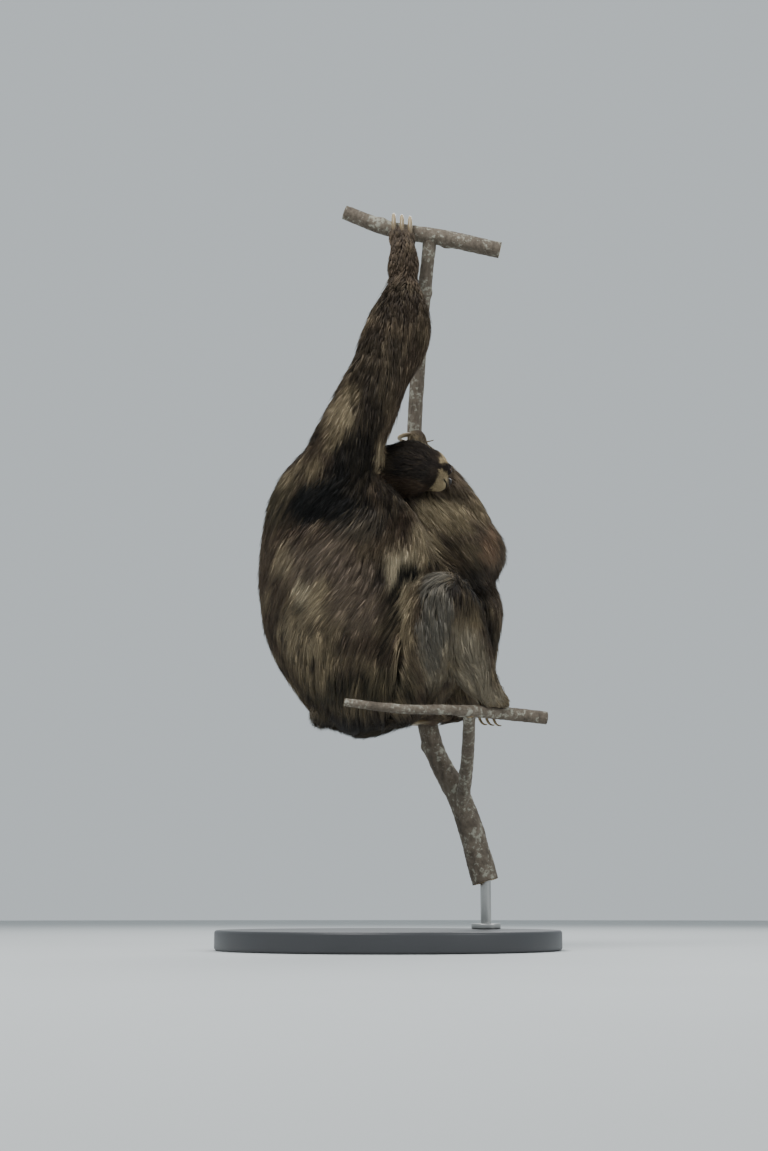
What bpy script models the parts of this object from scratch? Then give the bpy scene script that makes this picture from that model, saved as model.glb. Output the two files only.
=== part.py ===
"""A brown-throated three-toed sloth, life size, hugging a cut length of branch on a plain display stand.

Metres, +Z up, origin at the middle of the underside of the base. The back is toward -X, the belly and
the stem toward +X and +Y. The flesh is a set of lofts whose surface is the outline of the coat, from
joints placed by the lengths of the bones; each loft is trimmed by grown copies of its neighbours, so
that the pieces meet with a gap of GAP. Claws, eyes and nose are set into pockets of the flesh.
"""

import math

import bmesh
import bpy
import numpy as np
from mathutils import Vector
from mathutils.bvhtree import BVHTree

GAP = 0.0003

# Stand
BASE_RADIUS = 0.250
BASE_THICKNESS = 0.028
BASE_EDGE = 0.004
ROD_RADIUS = 0.008
ROD_DEPTH_IN_STEM = 0.020
COLLAR_RADIUS = 0.022
COLLAR_HEIGHT = 0.008

# Wood: the lines of the stem, the limb over the raised hand, the seat branch and the fork under it
STEM_FOOT = Vector((0.147, 0.098, 0.098))
STEM_LINE = [
    (*STEM_FOOT, 0.0200),
    (0.115, 0.104, 0.209, 0.0185),
    (0.067, 0.119, 0.314, 0.0155),
    (0.047, 0.125, 0.470, 0.0135),
    (0.041, 0.125, 0.630, 0.0120),
    (0.042, 0.117, 0.792, 0.0115),
    (0.052, 0.088, 0.955, 0.0112),
    (0.066, 0.022, 1.090, 0.0105),
]
LIMB_LINE = [
    (-0.068, 0.020, 1.135, 0.0110),
    (0.005, 0.020, 1.107, 0.0120),
    (0.085, 0.020, 1.093, 0.0125),
    (0.176, 0.020, 1.072, 0.0130),
]
SEAT_LINE = [
    (-0.062, -0.112, 0.345, 0.0056),
    (0.017, -0.117, 0.335, 0.0064),
    (0.088, -0.087, 0.337, 0.0074),
    (0.168, -0.032, 0.338, 0.0095),
    (0.232, -0.018, 0.333, 0.0098),
]
FORK_LINE = [
    (0.112, 0.100, 0.212, 0.0105),
    (0.117, 0.050, 0.258, 0.0098),
    (0.118, -0.010, 0.301, 0.0090),
    (0.117, -0.064, 0.335, 0.0085),
]

# Joints, each at the middle of the limb
SHOULDER = {"right": Vector((-0.085, -0.056, 0.680)), "left": Vector((-0.016, 0.074, 0.700))}
ELBOW = {"right": Vector((-0.014, -0.054, 0.842)), "left": Vector((0.138, 0.055, 0.594))}
WRIST = {"right": Vector((0.024, -0.013, 0.998)), "left": Vector((0.072, 0.080, 0.731))}
KNUCKLES = {"right": Vector((0.024, -0.004, 1.077)), "left": Vector((0.038, 0.095, 0.777))}
HIP = {"right": Vector((0.002, -0.042, 0.372)), "left": Vector((0.035, 0.055, 0.405))}
KNEE = {"right": Vector((0.084, -0.078, 0.498)), "left": Vector((0.133, 0.087, 0.517))}
ANKLE = {"right": Vector((0.128, -0.052, 0.391)), "left": Vector((0.122, 0.098, 0.372))}
TOES = {"right": Vector((0.156, -0.050, 0.361)), "left": Vector((0.073, 0.095, 0.354))}

# Radii of the limbs at the tips of the coat, and how far the hair hangs below them
UPPER_ARM_RADII = (0.062, 0.054, 0.050)
FOREARM_RADII = {"right": (0.048, 0.054, 0.030), "left": (0.044, 0.040, 0.029)}
HAND_RADII = (0.027, 0.029, 0.020)
THIGH_RADII = (0.064, 0.062, 0.052)
SHIN_RADII = (0.047, 0.043, 0.032)
FOOT_RADII = (0.030, 0.028, 0.020)
ARM_HANG = {"right": 0.004, "left": 0.030}
LEG_HANG = 0.014
SOLE_FLATNESS = 0.72

# Head: its middle, the way it faces, and its sections from the nape to the lips
HEAD_CENTRE = Vector((0.039, -0.008, 0.714))
HEAD_AZIMUTH = math.radians(15)
HEAD_PITCH = math.radians(-12)
HEAD_LENGTH = 0.107
HEAD_SECTIONS = [  # along the face's axis, half width, half height, drop of the middle
    (-0.030, 0.0360, 0.0355, 0.0000),
    (-0.008, 0.0435, 0.0425, 0.0000),
    (0.014, 0.0435, 0.0415, 0.0010),
    (0.030, 0.0385, 0.0365, 0.0020),
    (0.040, 0.0300, 0.0285, 0.0050),
    (0.0465, 0.0195, 0.0180, 0.0095),
    (0.053, 0.0155, 0.0135, 0.0110),
]
EYE_RADIUS = 0.0048
EYE_PLACE = (0.0175, 0.0060)  # to the side, up
EYE_SINK = 0.0022  # how far its middle lies under the outline of the coat
NOSE_PLACE = (0.0, -0.0075)
NOSE_SINK = 0.0020
NOSE_HALF_SIZE = (0.0050, 0.0085, 0.0055)

# Claws: three to a hand or foot, each a tapering hook around the wood
CLAW_HALF_DEPTH = 0.0050
CLAW_HALF_WIDTH = 0.0039
CLAW_SPACING = 0.0130
CLAW_TIP = 0.22
CLAW_SECTIONS = 6
GRIPS = {  # line of wood, place along X or Z, arc radius at root and tip, first angle, sweep
    "hand_right": ("limb", 0.022, 0.0225, 0.0235, -48, 240),
    "hand_left": ("stem", 0.782, 0.0205, 0.0340, 292, -262),
    "foot_right": ("seat", 0.153, 0.0170, 0.0180, 52, 215),
    "foot_left": ("stem", 0.352, 0.0235, 0.0250, 292, -205),
}

COLOURS = {
    "coat": (0.115, 0.092, 0.066),
    "nose": (0.008, 0.007, 0.006),
    "eye": (0.006, 0.005, 0.004),
    "claw": (0.200, 0.165, 0.110),
    "bark": (0.120, 0.105, 0.080),
    "stand_steel": (0.060, 0.060, 0.062),
    "stand_wood": (0.100, 0.095, 0.090),
}
ROUGHNESS = {"nose": 0.35, "eye": 0.08, "claw": 0.45, "stand_steel": 0.40}


def clear_scene():
    for obj in list(bpy.data.objects):
        bpy.data.objects.remove(obj, do_unlink=True)


def new_collection(name):
    collection = bpy.data.collections.new(name)
    bpy.context.scene.collection.children.link(collection)
    return collection


def material(name):
    made = bpy.data.materials.get(name)
    if made:
        return made
    made = bpy.data.materials.new(name)
    made.use_nodes = True
    shader = made.node_tree.nodes["Principled BSDF"]
    shader.inputs["Base Color"].default_value = (*COLOURS[name], 1.0)
    shader.inputs["Roughness"].default_value = ROUGHNESS.get(name, 0.85)
    shader.inputs["Metallic"].default_value = 1.0 if name == "stand_steel" else 0.0
    return made


def add_object(name, mesh, slot, collection):
    obj = bpy.data.objects.new(name, mesh)
    obj.data.materials.append(material(slot))
    collection.objects.link(obj)
    mesh.shade_smooth()
    mesh.set_sharp_from_angle(angle=math.radians(50))
    return obj


def add_cutter(name, mesh):
    obj = bpy.data.objects.new(name, mesh)
    obj.hide_render = True
    obj.display_type = "WIRE"
    cutters.objects.link(obj)
    return obj


def cut(obj, cutter):
    modifier = obj.modifiers.new("clear of " + cutter.name, "BOOLEAN")
    modifier.object = cutter
    modifier.operation = "DIFFERENCE"
    modifier.solver = "EXACT"


def smooth_rows(rows, steps):
    """Rows of numbers with steps - 1 more between each two, on Catmull-Rom curves through them."""
    rows = np.array(rows, float)
    before = np.vstack([2 * rows[0] - rows[1], rows[:-2]])
    after = np.vstack([rows[2:], 2 * rows[-1] - rows[-2]])
    first, last = rows[:-1], rows[1:]
    parts = []
    for t in np.arange(steps) / steps:
        parts.append(
            0.5
            * (
                2 * first
                + (last - before) * t
                + (2 * before - 5 * first + 4 * last - after) * t**2
                + (3 * first - before - 3 * last + after) * t**3
            )
        )
    between = np.stack(parts, axis=1).reshape(-1, rows.shape[1])
    return np.vstack([between, rows[-1]])


def loft(name, stations, sides, steps=2, domes=(1.0, 1.0), across=(0, 1, 0), hang=0.0, grow=0.0):
    """A closed mesh through oval sections: stations are x, y, z, half size along across, half size the other way.

    The ends are domes as long as their factor times the end's half size, or flat where it is 0. Hang
    lowers the under side. Grow moves the whole surface out along its normals.
    """
    rows = smooth_rows(stations, steps)
    centre, wide, deep = rows[:, :3], rows[:, 3], rows[:, 4]
    along = np.gradient(centre, axis=0)
    along /= np.linalg.norm(along, axis=1)[:, None]
    scale = np.ones(len(centre))
    shift = np.zeros(len(centre))
    order = np.arange(len(centre))
    for end, dome, sign in ((0, domes[0], -1), (len(centre) - 1, domes[1], 1)):
        if not dome:
            continue
        turns = np.radians([30, 60]) if sides > 8 else np.radians([45])
        reach = 0.5 * (wide[end] + deep[end]) * dome
        where = 0 if sign < 0 else len(order)
        turns = turns[::sign]
        order = np.insert(order, where, np.full(len(turns), end))
        scale = np.insert(scale, where, np.cos(turns))
        shift = np.insert(shift, where, sign * reach * np.sin(turns))
    poles = [
        centre[end] + sign * along[end] * 0.5 * (wide[end] + deep[end]) * dome
        for end, dome, sign in ((0, domes[0], -1), (-1, domes[1], 1))
    ]
    side = np.array(across, float) - along * (along @ np.array(across, float))[:, None]
    side /= np.linalg.norm(side, axis=1)[:, None]
    other = np.cross(along, side)
    angle = 2 * np.pi * np.arange(sides) / sides
    out = (
        side[order][:, None] * (np.cos(angle)[None, :, None] * wide[order][:, None, None])
        + other[order][:, None] * (np.sin(angle)[None, :, None] * deep[order][:, None, None])
    ) * scale[:, None, None]
    size = np.linalg.norm(out, axis=2)
    down = np.clip(-out[..., 2] / size, 0, 1) * scale[:, None]
    out[..., 2] -= hang * down**2
    points = (centre[order] + along[order] * shift[:, None])[:, None] + out

    shape = bmesh.new()
    rings = [[shape.verts.new(point) for point in ring] for ring in points]
    for ring, following in zip(rings[:-1], rings[1:]):
        for i in range(sides):
            j = (i + 1) % sides
            shape.faces.new((ring[i], ring[j], following[j], following[i]))
    first, last = (shape.verts.new(pole) for pole in poles)
    for i in range(sides):
        j = (i + 1) % sides
        shape.faces.new((rings[0][j], rings[0][i], first))
        shape.faces.new((rings[-1][i], rings[-1][j], last))
    bmesh.ops.recalc_face_normals(shape, faces=shape.faces)
    # The same diagonals in a shape and in its grown copy keep their gap even.
    bmesh.ops.triangulate(shape, faces=shape.faces, quad_method="FIXED")
    shape.normal_update()
    for vertex in shape.verts:
        vertex.co += vertex.normal * grow
    mesh = bpy.data.meshes.new(name)
    shape.to_mesh(mesh)
    shape.free()
    return mesh


def limb_stations(start, end, radii, flatness=1.0, bow=(0, 0, 0)):
    """Three sections from joint to joint, with the middle one moved by bow."""
    middle = (start + end) / 2 + Vector(bow)
    return [(*place, radius, radius * flatness) for place, radius in zip((start, middle, end), radii)]


def head_axes():
    flat = math.cos(HEAD_PITCH)
    forward = Vector((flat * math.cos(HEAD_AZIMUTH), flat * math.sin(HEAD_AZIMUTH), math.sin(HEAD_PITCH)))
    left = Vector((-math.sin(HEAD_AZIMUTH), math.cos(HEAD_AZIMUTH), 0))
    return forward, left, forward.cross(left)


def on_head(ahead, aside, up):
    forward, left, above = head_axes()
    return HEAD_CENTRE + forward * ahead + left * aside + above * up


def under_face(shape, place, sink):
    """The point a given depth under the head's surface, at a place aside and above, and the way out there."""
    forward = head_axes()[0]
    solid = bmesh.new()
    solid.from_mesh(loft("face", **shape))
    hit, normal, _, _ = BVHTree.FromBMesh(solid).ray_cast(on_head(2 * HEAD_LENGTH, *place), -forward)
    solid.free()
    return hit - normal * sink


def line_point(line, axis, value):
    """The point and direction of a line of wood where one coordinate has a value."""
    rows = smooth_rows(line, 8)
    key = rows[:, axis]
    rising = np.argsort(key)
    point = Vector([np.interp(value, key[rising], rows[rising, i]) for i in range(3)])
    near = int(np.argmin(np.abs(key - value)))
    low, high = max(near - 1, 0), min(near + 1, len(rows) - 1)
    direction = Vector(rows[high, :3] - rows[low, :3]).normalized()
    return point, direction


def flesh_shapes():
    """Name, and arguments of loft, of each piece of flesh, each trimmed by those before it."""
    shapes = {}
    shapes["trunk"] = dict(
        stations=[
            (-0.001, 0.004, 0.345, 0.074, 0.078),
            (-0.024, 0.000, 0.391, 0.104, 0.107),
            (-0.052, 0.000, 0.481, 0.120, 0.138),
            (-0.066, 0.000, 0.587, 0.120, 0.131),
            (-0.080, 0.000, 0.662, 0.110, 0.107),
            (-0.078, 0.004, 0.715, 0.086, 0.070),
        ],
        sides=22,
        domes=(0.46, 0.5),
    )
    forward, left, above = head_axes()
    shapes["head"] = dict(
        stations=[
            (*on_head(ahead, 0, -drop), half_width, half_height)
            for ahead, half_width, half_height, drop in HEAD_SECTIONS
        ],
        sides=20,
        domes=(0.52, 0.42),
        across=tuple(left),
    )
    shapes["neck"] = dict(
        stations=[
            (-0.052, 0.002, 0.700, 0.062, 0.050),
            (-0.014, 0.000, 0.710, 0.052, 0.044),
            (0.024, -0.004, 0.713, 0.040, 0.038),
        ],
        sides=14,
        domes=(0.5, 0.4),
    )
    shapes["tail"] = dict(
        stations=[
            (-0.062, 0.000, 0.378, 0.034, 0.030),
            (-0.083, -0.001, 0.353, 0.030, 0.027),
            (-0.103, -0.002, 0.333, 0.023, 0.020),
        ],
        sides=10,
    )
    for side in ("right", "left"):
        shapes["upper_arm_" + side] = dict(
            stations=limb_stations(SHOULDER[side], ELBOW[side], UPPER_ARM_RADII), hang=ARM_HANG[side]
        )
        shapes["forearm_" + side] = dict(
            stations=limb_stations(ELBOW[side], WRIST[side], FOREARM_RADII[side], bow=FOREARM_BOW[side]),
            hang=ARM_HANG[side] / 2,
            domes=(0.5, 1.0),
        )
        shapes["hand_" + side] = dict(
            stations=limb_stations(WRIST[side], KNUCKLES[side], HAND_RADII, SOLE_FLATNESS),
            across=GRIP_AXIS["hand_" + side],
            domes=(0.5, 0.6),
        )
    for side in ("right", "left"):
        shapes["thigh_" + side] = dict(
            stations=limb_stations(HIP[side], KNEE[side], THIGH_RADII), hang=LEG_HANG
        )
        shapes["shin_" + side] = dict(
            stations=limb_stations(KNEE[side], ANKLE[side], SHIN_RADII), hang=LEG_HANG, domes=(0.5, 1.0)
        )
        shapes["foot_" + side] = dict(
            stations=limb_stations(ANKLE[side], TOES[side], FOOT_RADII, SOLE_FLATNESS),
            across=GRIP_AXIS["foot_" + side],
            domes=(0.5, 0.6),
        )
    for shape in shapes.values():
        shape.setdefault("sides", 12)
    return shapes


FOREARM_BOW = {"right": (0.012, 0.0, 0.004), "left": (0.006, -0.004, 0.0)}
GRIP_AXIS = {
    "hand_right": (1, 0, 0),
    "hand_left": (0, 0, 1),
    "foot_right": (0.82, 0.57, 0),
    "foot_left": (0, 0, 1),
}
WOOD = {"stem": STEM_LINE, "limb": LIMB_LINE, "seat": SEAT_LINE, "fork": FORK_LINE}
WOOD_ORDER = ("stem", "limb", "seat", "fork")


def wood_shape(name, grow=0.0):
    stations = [(x, y, z, radius, radius) for x, y, z, radius in WOOD[name]]
    across = (0, 1, 0.3) if name in ("limb", "seat") else (0.2, 1, 0)
    return loft("perch_" + name, stations, sides=10, steps=2, domes=(0, 0), across=across, grow=grow)


def claw_shape(name, grip, index, grow=0.0):
    """A hook of oval section around the wood, on a spiral from its root inside the hand to its point."""
    wood, place, root_reach, tip_reach, first, sweep = GRIPS[grip]
    axis = 2 if wood == "stem" else 0
    centre, direction = line_point(WOOD[wood], axis, place)
    centre = centre + direction * CLAW_SPACING * (index - 1)
    if wood == "stem":
        one, two = Vector((1, 0, 0)), Vector((0, 1, 0))
    else:
        one = Vector((direction.y, -direction.x, 0)).normalized()
        two = Vector((0, 0, 1))
    stations = []
    for t in np.linspace(0, 1, CLAW_SECTIONS):
        angle = math.radians(first + sweep * t)
        reach = root_reach + (tip_reach - root_reach) * t**2
        point = centre + (one * math.cos(angle) + two * math.sin(angle)) * reach
        size = 1 - (1 - CLAW_TIP) * t**1.6
        stations.append((*point, CLAW_HALF_WIDTH * size, CLAW_HALF_DEPTH * size))
    return loft(name, stations, sides=8, steps=1, domes=(0, 1.6), across=tuple(direction), grow=grow)


def ball(name, centre, half_size, segments=10, rings=6, grow=0.0):
    """An ellipsoid in the head's axes."""
    shape = bmesh.new()
    bmesh.ops.create_uvsphere(shape, u_segments=segments, v_segments=rings, radius=1.0)
    forward, left, above = head_axes()
    for vertex in shape.verts:
        x, y, z = (value * (half + grow) for value, half in zip(vertex.co, half_size))
        vertex.co = centre + forward * x + left * y + above * z
    mesh = bpy.data.meshes.new(name)
    shape.to_mesh(mesh)
    shape.free()
    return mesh


def cylinder(name, radius, low, high, place, sides):
    shape = bmesh.new()
    bmesh.ops.create_cone(
        shape, cap_ends=True, segments=sides, radius1=radius, radius2=radius, depth=high - low
    )
    bmesh.ops.translate(shape, verts=shape.verts, vec=(place.x, place.y, (low + high) / 2))
    mesh = bpy.data.meshes.new(name)
    shape.to_mesh(mesh)
    shape.free()
    return mesh


def boxes_meet(one, other):
    spans = []
    for obj in (one, other):
        points = np.array([vertex.co for vertex in obj.data.vertices])
        spans.append((points.min(0), points.max(0)))
    return bool((spans[0][0] <= spans[1][1]).all() and (spans[1][0] <= spans[0][1]).all())


def cut_where_they_meet(obj, cutter_list):
    for cutter in cutter_list:
        if boxes_meet(obj, cutter):
            cut(obj, cutter)


def build_wood(parts):
    """The wood, each length trimmed by those before it, with a hole for the rod in the foot of the stem."""
    made = []
    rod = cylinder(
        "cut_rod", ROD_RADIUS + GAP, STEM_FOOT.z - 0.02, STEM_FOOT.z + ROD_DEPTH_IN_STEM + GAP, STEM_FOOT, 16
    )
    rod_cutter = add_cutter("cut_rod", rod)
    for name in WOOD_ORDER:
        obj = add_object("perch_" + name, wood_shape(name), "bark", parts)
        cut_where_they_meet(obj, made)
        if name == "stem":
            cut(obj, rod_cutter)
        made.append(add_cutter("cut_perch_" + name, wood_shape(name, GAP)))
    return made


def build_stand(parts):
    base = cylinder("stand_base", BASE_RADIUS, 0.0, BASE_THICKNESS, Vector((0, 0, 0)), 48)
    obj = add_object("stand_base", base, "stand_wood", parts)
    edge = obj.modifiers.new("edge", "BEVEL")
    edge.width = BASE_EDGE
    edge.segments = 1
    edge.angle_limit = math.radians(40)
    top = BASE_THICKNESS + GAP
    rod = cylinder(
        "stand_rod", ROD_RADIUS, top, STEM_FOOT.z + ROD_DEPTH_IN_STEM, STEM_FOOT, 16
    )
    add_object("stand_rod", rod, "stand_steel", parts)
    collar = cylinder("stand_collar", COLLAR_RADIUS, top, top + COLLAR_HEIGHT, STEM_FOOT, 20)
    obj = add_object("stand_collar", collar, "stand_steel", parts)
    hole = cylinder(
        "cut_collar", ROD_RADIUS + GAP, top - 0.01, top + COLLAR_HEIGHT + 0.01, STEM_FOOT, 16
    )
    cut(obj, add_cutter("cut_collar", hole))


def build_small_parts(parts):
    """Eyes, nose and claws. Returns the cutters of the pockets that they need in the flesh."""
    pockets = []
    aside, up = EYE_PLACE
    head = flesh_shapes()["head"]
    round_size = (EYE_RADIUS,) * 3
    for side, sign in (("left", 1), ("right", -1)):
        centre = under_face(head, (aside * sign, up), EYE_SINK)
        add_object("eye_" + side, ball("eye_" + side, centre, round_size), "eye", parts)
        pocket = ball("cut_eye_" + side, centre, round_size, grow=GAP)
        pockets.append(add_cutter("cut_eye_" + side, pocket))
    centre = under_face(head, NOSE_PLACE, NOSE_SINK)
    add_object("nose", ball("nose", centre, NOSE_HALF_SIZE), "nose", parts)
    pockets.append(add_cutter("cut_nose", ball("cut_nose", centre, NOSE_HALF_SIZE, grow=GAP)))
    for grip in GRIPS:
        for index in range(3):
            name = f"claw_{grip}_{index + 1}"
            add_object(name, claw_shape(name, grip, index), "claw", parts)
            pockets.append(add_cutter("cut_" + name, claw_shape("cut_" + name, grip, index, GAP)))
    return pockets


def build_flesh(parts, wood_cutters, pockets):
    made = []
    for name, shape in flesh_shapes().items():
        obj = add_object(name, loft(name, **shape), "coat", parts)
        cut_where_they_meet(obj, made)
        cut_where_they_meet(obj, wood_cutters)
        cut_where_they_meet(obj, pockets)
        made.append(add_cutter("cut_" + name, loft("cut_" + name, grow=GAP, **shape)))


clear_scene()
model = new_collection("three_toed_sloth")
cutters = new_collection("cutters")
cutters.hide_render = True
wood = build_wood(model)
build_stand(model)
build_flesh(model, wood, build_small_parts(model))
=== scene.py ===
"""The looks of the three-toed sloth: one skin, a coat of mesh locks, eyes, lids, nose, claws, bark and the stage.

Laid out as a Blender add-on and run as a script. Metres, +Z up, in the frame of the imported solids.
"""

import functools
import math

import bmesh
import bpy
import numpy as np
import openvdb as vdb
from mathutils import Matrix, Vector


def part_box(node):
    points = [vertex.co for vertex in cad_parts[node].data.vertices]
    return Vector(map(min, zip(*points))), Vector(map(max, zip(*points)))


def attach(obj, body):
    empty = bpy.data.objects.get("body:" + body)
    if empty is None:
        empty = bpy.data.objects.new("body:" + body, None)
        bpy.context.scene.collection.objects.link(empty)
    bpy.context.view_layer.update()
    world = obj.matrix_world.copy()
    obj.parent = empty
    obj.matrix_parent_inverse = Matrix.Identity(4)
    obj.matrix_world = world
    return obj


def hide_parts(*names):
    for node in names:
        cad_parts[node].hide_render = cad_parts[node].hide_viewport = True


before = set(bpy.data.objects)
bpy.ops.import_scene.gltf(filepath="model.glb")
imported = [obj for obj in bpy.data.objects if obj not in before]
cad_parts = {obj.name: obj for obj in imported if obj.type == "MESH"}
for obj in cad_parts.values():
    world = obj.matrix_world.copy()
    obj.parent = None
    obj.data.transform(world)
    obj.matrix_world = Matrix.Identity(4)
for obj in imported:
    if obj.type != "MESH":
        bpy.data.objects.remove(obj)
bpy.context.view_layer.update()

bl_info = {
    "name": "Three-toed sloth",
    "version": (1, 0, 0),
    "blender": (4, 5, 0),
    "location": "3D View > Sidebar > Sloth",
    "description": "Skin, coat, head, claws, perch and stage of a life-size sloth on a display stand",
    "category": "Object",
}

SIDES = ("right", "left")
LIMB_PARTS = ("upper_arm", "forearm", "hand", "thigh", "shin", "foot")
FLESH = ["trunk", "neck", "head", "tail"] + [f"{part}_{side}" for part in LIMB_PARTS for side in SIDES]
CLAWS = [f"claw_{limb}_{side}_{n}" for limb in ("hand", "foot") for side in SIDES for n in (1, 2, 3)]
PERCH = ["perch_stem", "perch_limb", "perch_seat", "perch_fork"]

# Depth of the skin under the tips of the coat, length of a lock, distance between roots, width of a lock
COAT = {
    "trunk": (0.018, 0.046, 0.0019, 0.0019),
    "neck": (0.013, 0.030, 0.0018, 0.0017),
    "head": (0.008, 0.018, 0.0014, 0.0012),
    "tail": (0.007, 0.024, 0.0020, 0.0018),
    "upper_arm": (0.013, 0.040, 0.0020, 0.0018),
    "forearm": (0.010, 0.036, 0.0020, 0.0017),
    "hand": (0.0055, 0.020, 0.0018, 0.0016),
    "thigh": (0.014, 0.042, 0.0020, 0.0018),
    "shin": (0.010, 0.036, 0.0019, 0.0017),
    "foot": (0.0045, 0.016, 0.0018, 0.0016),
}
FACE = (0.0026, 0.0062, 0.00115, 0.0009)

# A lock's points, as shares of its length; the share of locks that stand out and that are frosted; the size of a
# lock's square on the map; the patches whose tips draw together on the body and on the head
LOCK_POINTS = np.array((0, 0.42, 1.0))
STRAY_SHARE = 0.06
FROST_SHARE = 0.10
LOCK_SQUARE = 0.0030
PATCH = 0.010
HEAD_PATCH = 0.006
ROOT_DEPTH = 0.0014
WOOD_GAP = 0.0020

# The head's middle, and the way it faces as turned from +X and raised, as in the solids
HEAD_CENTRE = np.array((0.039, -0.008, 0.714))
HEAD_AZIMUTH = math.radians(15)
HEAD_PITCH = math.radians(-12)

# Joints of the limbs, as in the solids
JOINTS = {
    "right": {
        "upper_arm": ((-0.085, -0.056, 0.680), (-0.014, -0.054, 0.842)),
        "forearm": ((-0.014, -0.054, 0.842), (0.024, -0.013, 0.998)),
        "hand": ((0.024, -0.013, 0.998), (0.024, -0.004, 1.077)),
        "thigh": ((0.002, -0.042, 0.372), (0.084, -0.078, 0.498)),
        "shin": ((0.084, -0.078, 0.498), (0.128, -0.052, 0.391)),
        "foot": ((0.128, -0.052, 0.391), (0.156, -0.050, 0.361)),
    },
    "left": {
        "upper_arm": ((-0.016, 0.074, 0.700), (0.138, 0.055, 0.594)),
        "forearm": ((0.138, 0.055, 0.594), (0.072, 0.080, 0.731)),
        "hand": ((0.072, 0.080, 0.731), (0.038, 0.095, 0.777)),
        "thigh": ((0.035, 0.055, 0.405), (0.133, 0.087, 0.517)),
        "shin": ((0.133, 0.087, 0.517), (0.122, 0.098, 0.372)),
        "foot": ((0.122, 0.098, 0.372), (0.073, 0.095, 0.354)),
    },
}

# Lines of the wood, each point with its radius, as in the solids
WOOD = {
    "stem": [
        (0.147, 0.098, 0.098, 0.0200),
        (0.115, 0.104, 0.209, 0.0185),
        (0.067, 0.119, 0.314, 0.0155),
        (0.047, 0.125, 0.470, 0.0135),
        (0.041, 0.125, 0.630, 0.0120),
        (0.042, 0.117, 0.792, 0.0115),
        (0.052, 0.088, 0.955, 0.0112),
        (0.066, 0.022, 1.090, 0.0105),
    ],
    "limb": [
        (-0.068, 0.020, 1.135, 0.0110),
        (0.005, 0.020, 1.107, 0.0120),
        (0.085, 0.020, 1.093, 0.0125),
        (0.176, 0.020, 1.072, 0.0130),
    ],
    "seat": [
        (-0.062, -0.112, 0.345, 0.0056),
        (0.017, -0.117, 0.335, 0.0064),
        (0.088, -0.087, 0.337, 0.0074),
        (0.168, -0.032, 0.338, 0.0095),
        (0.232, -0.018, 0.333, 0.0098),
    ],
    "fork": [
        (0.112, 0.100, 0.212, 0.0105),
        (0.117, 0.050, 0.258, 0.0098),
        (0.118, -0.010, 0.301, 0.0090),
        (0.117, -0.064, 0.335, 0.0085),
    ],
}

# Claws: line of wood, place along it, reach at root and tip, first angle and sweep, as in the solids
GRIPS = {
    "hand_right": ("limb", 0.022, 0.0225, 0.0235, -48, 240),
    "hand_left": ("stem", 0.782, 0.0205, 0.0340, 292, -262),
    "foot_right": ("seat", 0.153, 0.0170, 0.0180, 52, 215),
    "foot_left": ("stem", 0.352, 0.0235, 0.0250, 292, -205),
}
CLAW_SPACING = 0.0130
CLAW_HALF = (0.0039, 0.0050)
CLAW_TIP = 0.22
CLAW_SIDES = 24

# The muzzle under the short hair, in the head's own axes: its middle and half sizes
MUZZLE = ((0.0360, 0.0, -0.0115), (0.0215, 0.0185, 0.0150))

# Loose hair that bridges arm, belly and thigh: two ends and a radius
BRIDGE = ((0.052, 0.015, 0.580), (0.100, 0.035, 0.545), 0.021)

# Folds where the coat lies thin, each between two ends: under the shoulder and beside the raised arm
FOLDS = [
    ((-0.160, -0.085, 0.622), (-0.060, -0.115, 0.642)),
    ((-0.060, -0.115, 0.642), (-0.014, -0.080, 0.715)),
]

# Edge of the grid's cubes, cubes on each side of a surface where its distance is true, cubes round the body, and
# the swelling that closes the gaps between the solids
VOXEL = 0.0040
BAND = 9
MARGIN = 10
JOIN = 0.0010

# Bark: distance between rings, corners of a ring, distance between knots
BARK_STEP = 0.0026
BARK_SIDES = 40
KNOT_STEP = 0.11

# Camera: place, aim and lens. Floor: height of its top, and its depth
CAMERA = ((-0.006, -2.5536, 0.06), (-0.006, 0.0, 0.549), 54.21)
FLOOR = (-0.0005, 0.02)


def chip(red, green, blue):
    """The linear colour of a paint chip given as 0 to 255."""
    share = np.array((red, green, blue), float) / 255
    return np.where(share <= 0.04045, share / 12.92, ((share + 0.055) / 1.055) ** 2.4)


def smooth(low, high, value):
    """0 below low, 1 above high, and a smooth step between them."""
    share = np.clip((value - low) / (high - low), 0, 1)
    return share * share * (3 - 2 * share)


def unit(rows):
    """Each row shortened or stretched to length one."""
    return rows / np.maximum(np.linalg.norm(rows, axis=-1, keepdims=True), 1e-9)


def dot(one, two):
    """Row by row dot product, kept as a column."""
    return np.sum(one * two, axis=-1, keepdims=True)


def pick(rows, *arrays):
    """The same rows of several arrays."""
    return [array[rows] for array in arrays]


def cloud(places, size, seed=0):
    """Smooth noise from -1 to 1: a random number at each corner of cubes of that size, blended inside them."""
    grid = np.asarray(places) / size + 31.7 * (seed + 1)
    cell = np.floor(grid).astype(np.int64)
    part = grid - cell
    part = part * part * (3 - 2 * part)
    total = np.zeros(grid.shape[:-1])
    for corner in range(8):
        step = np.array([(corner >> axis) & 1 for axis in range(3)])
        key = (cell + step) @ np.array([73856093, 19349663, 83492791]) + seed * 7919
        key = (key ^ (key >> 13)) * 1274126177
        value = ((key ^ (key >> 16)) & 0xFFFF) / 32767.5 - 1
        total += value * np.prod(np.where(step, part, 1 - part), axis=-1)
    return total


def cloud_vector(places, size, seed=0):
    """Three clouds side by side, as a vector at each place."""
    return np.stack([cloud(places, size, seed + 11 * axis) for axis in range(3)], axis=-1)


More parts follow.
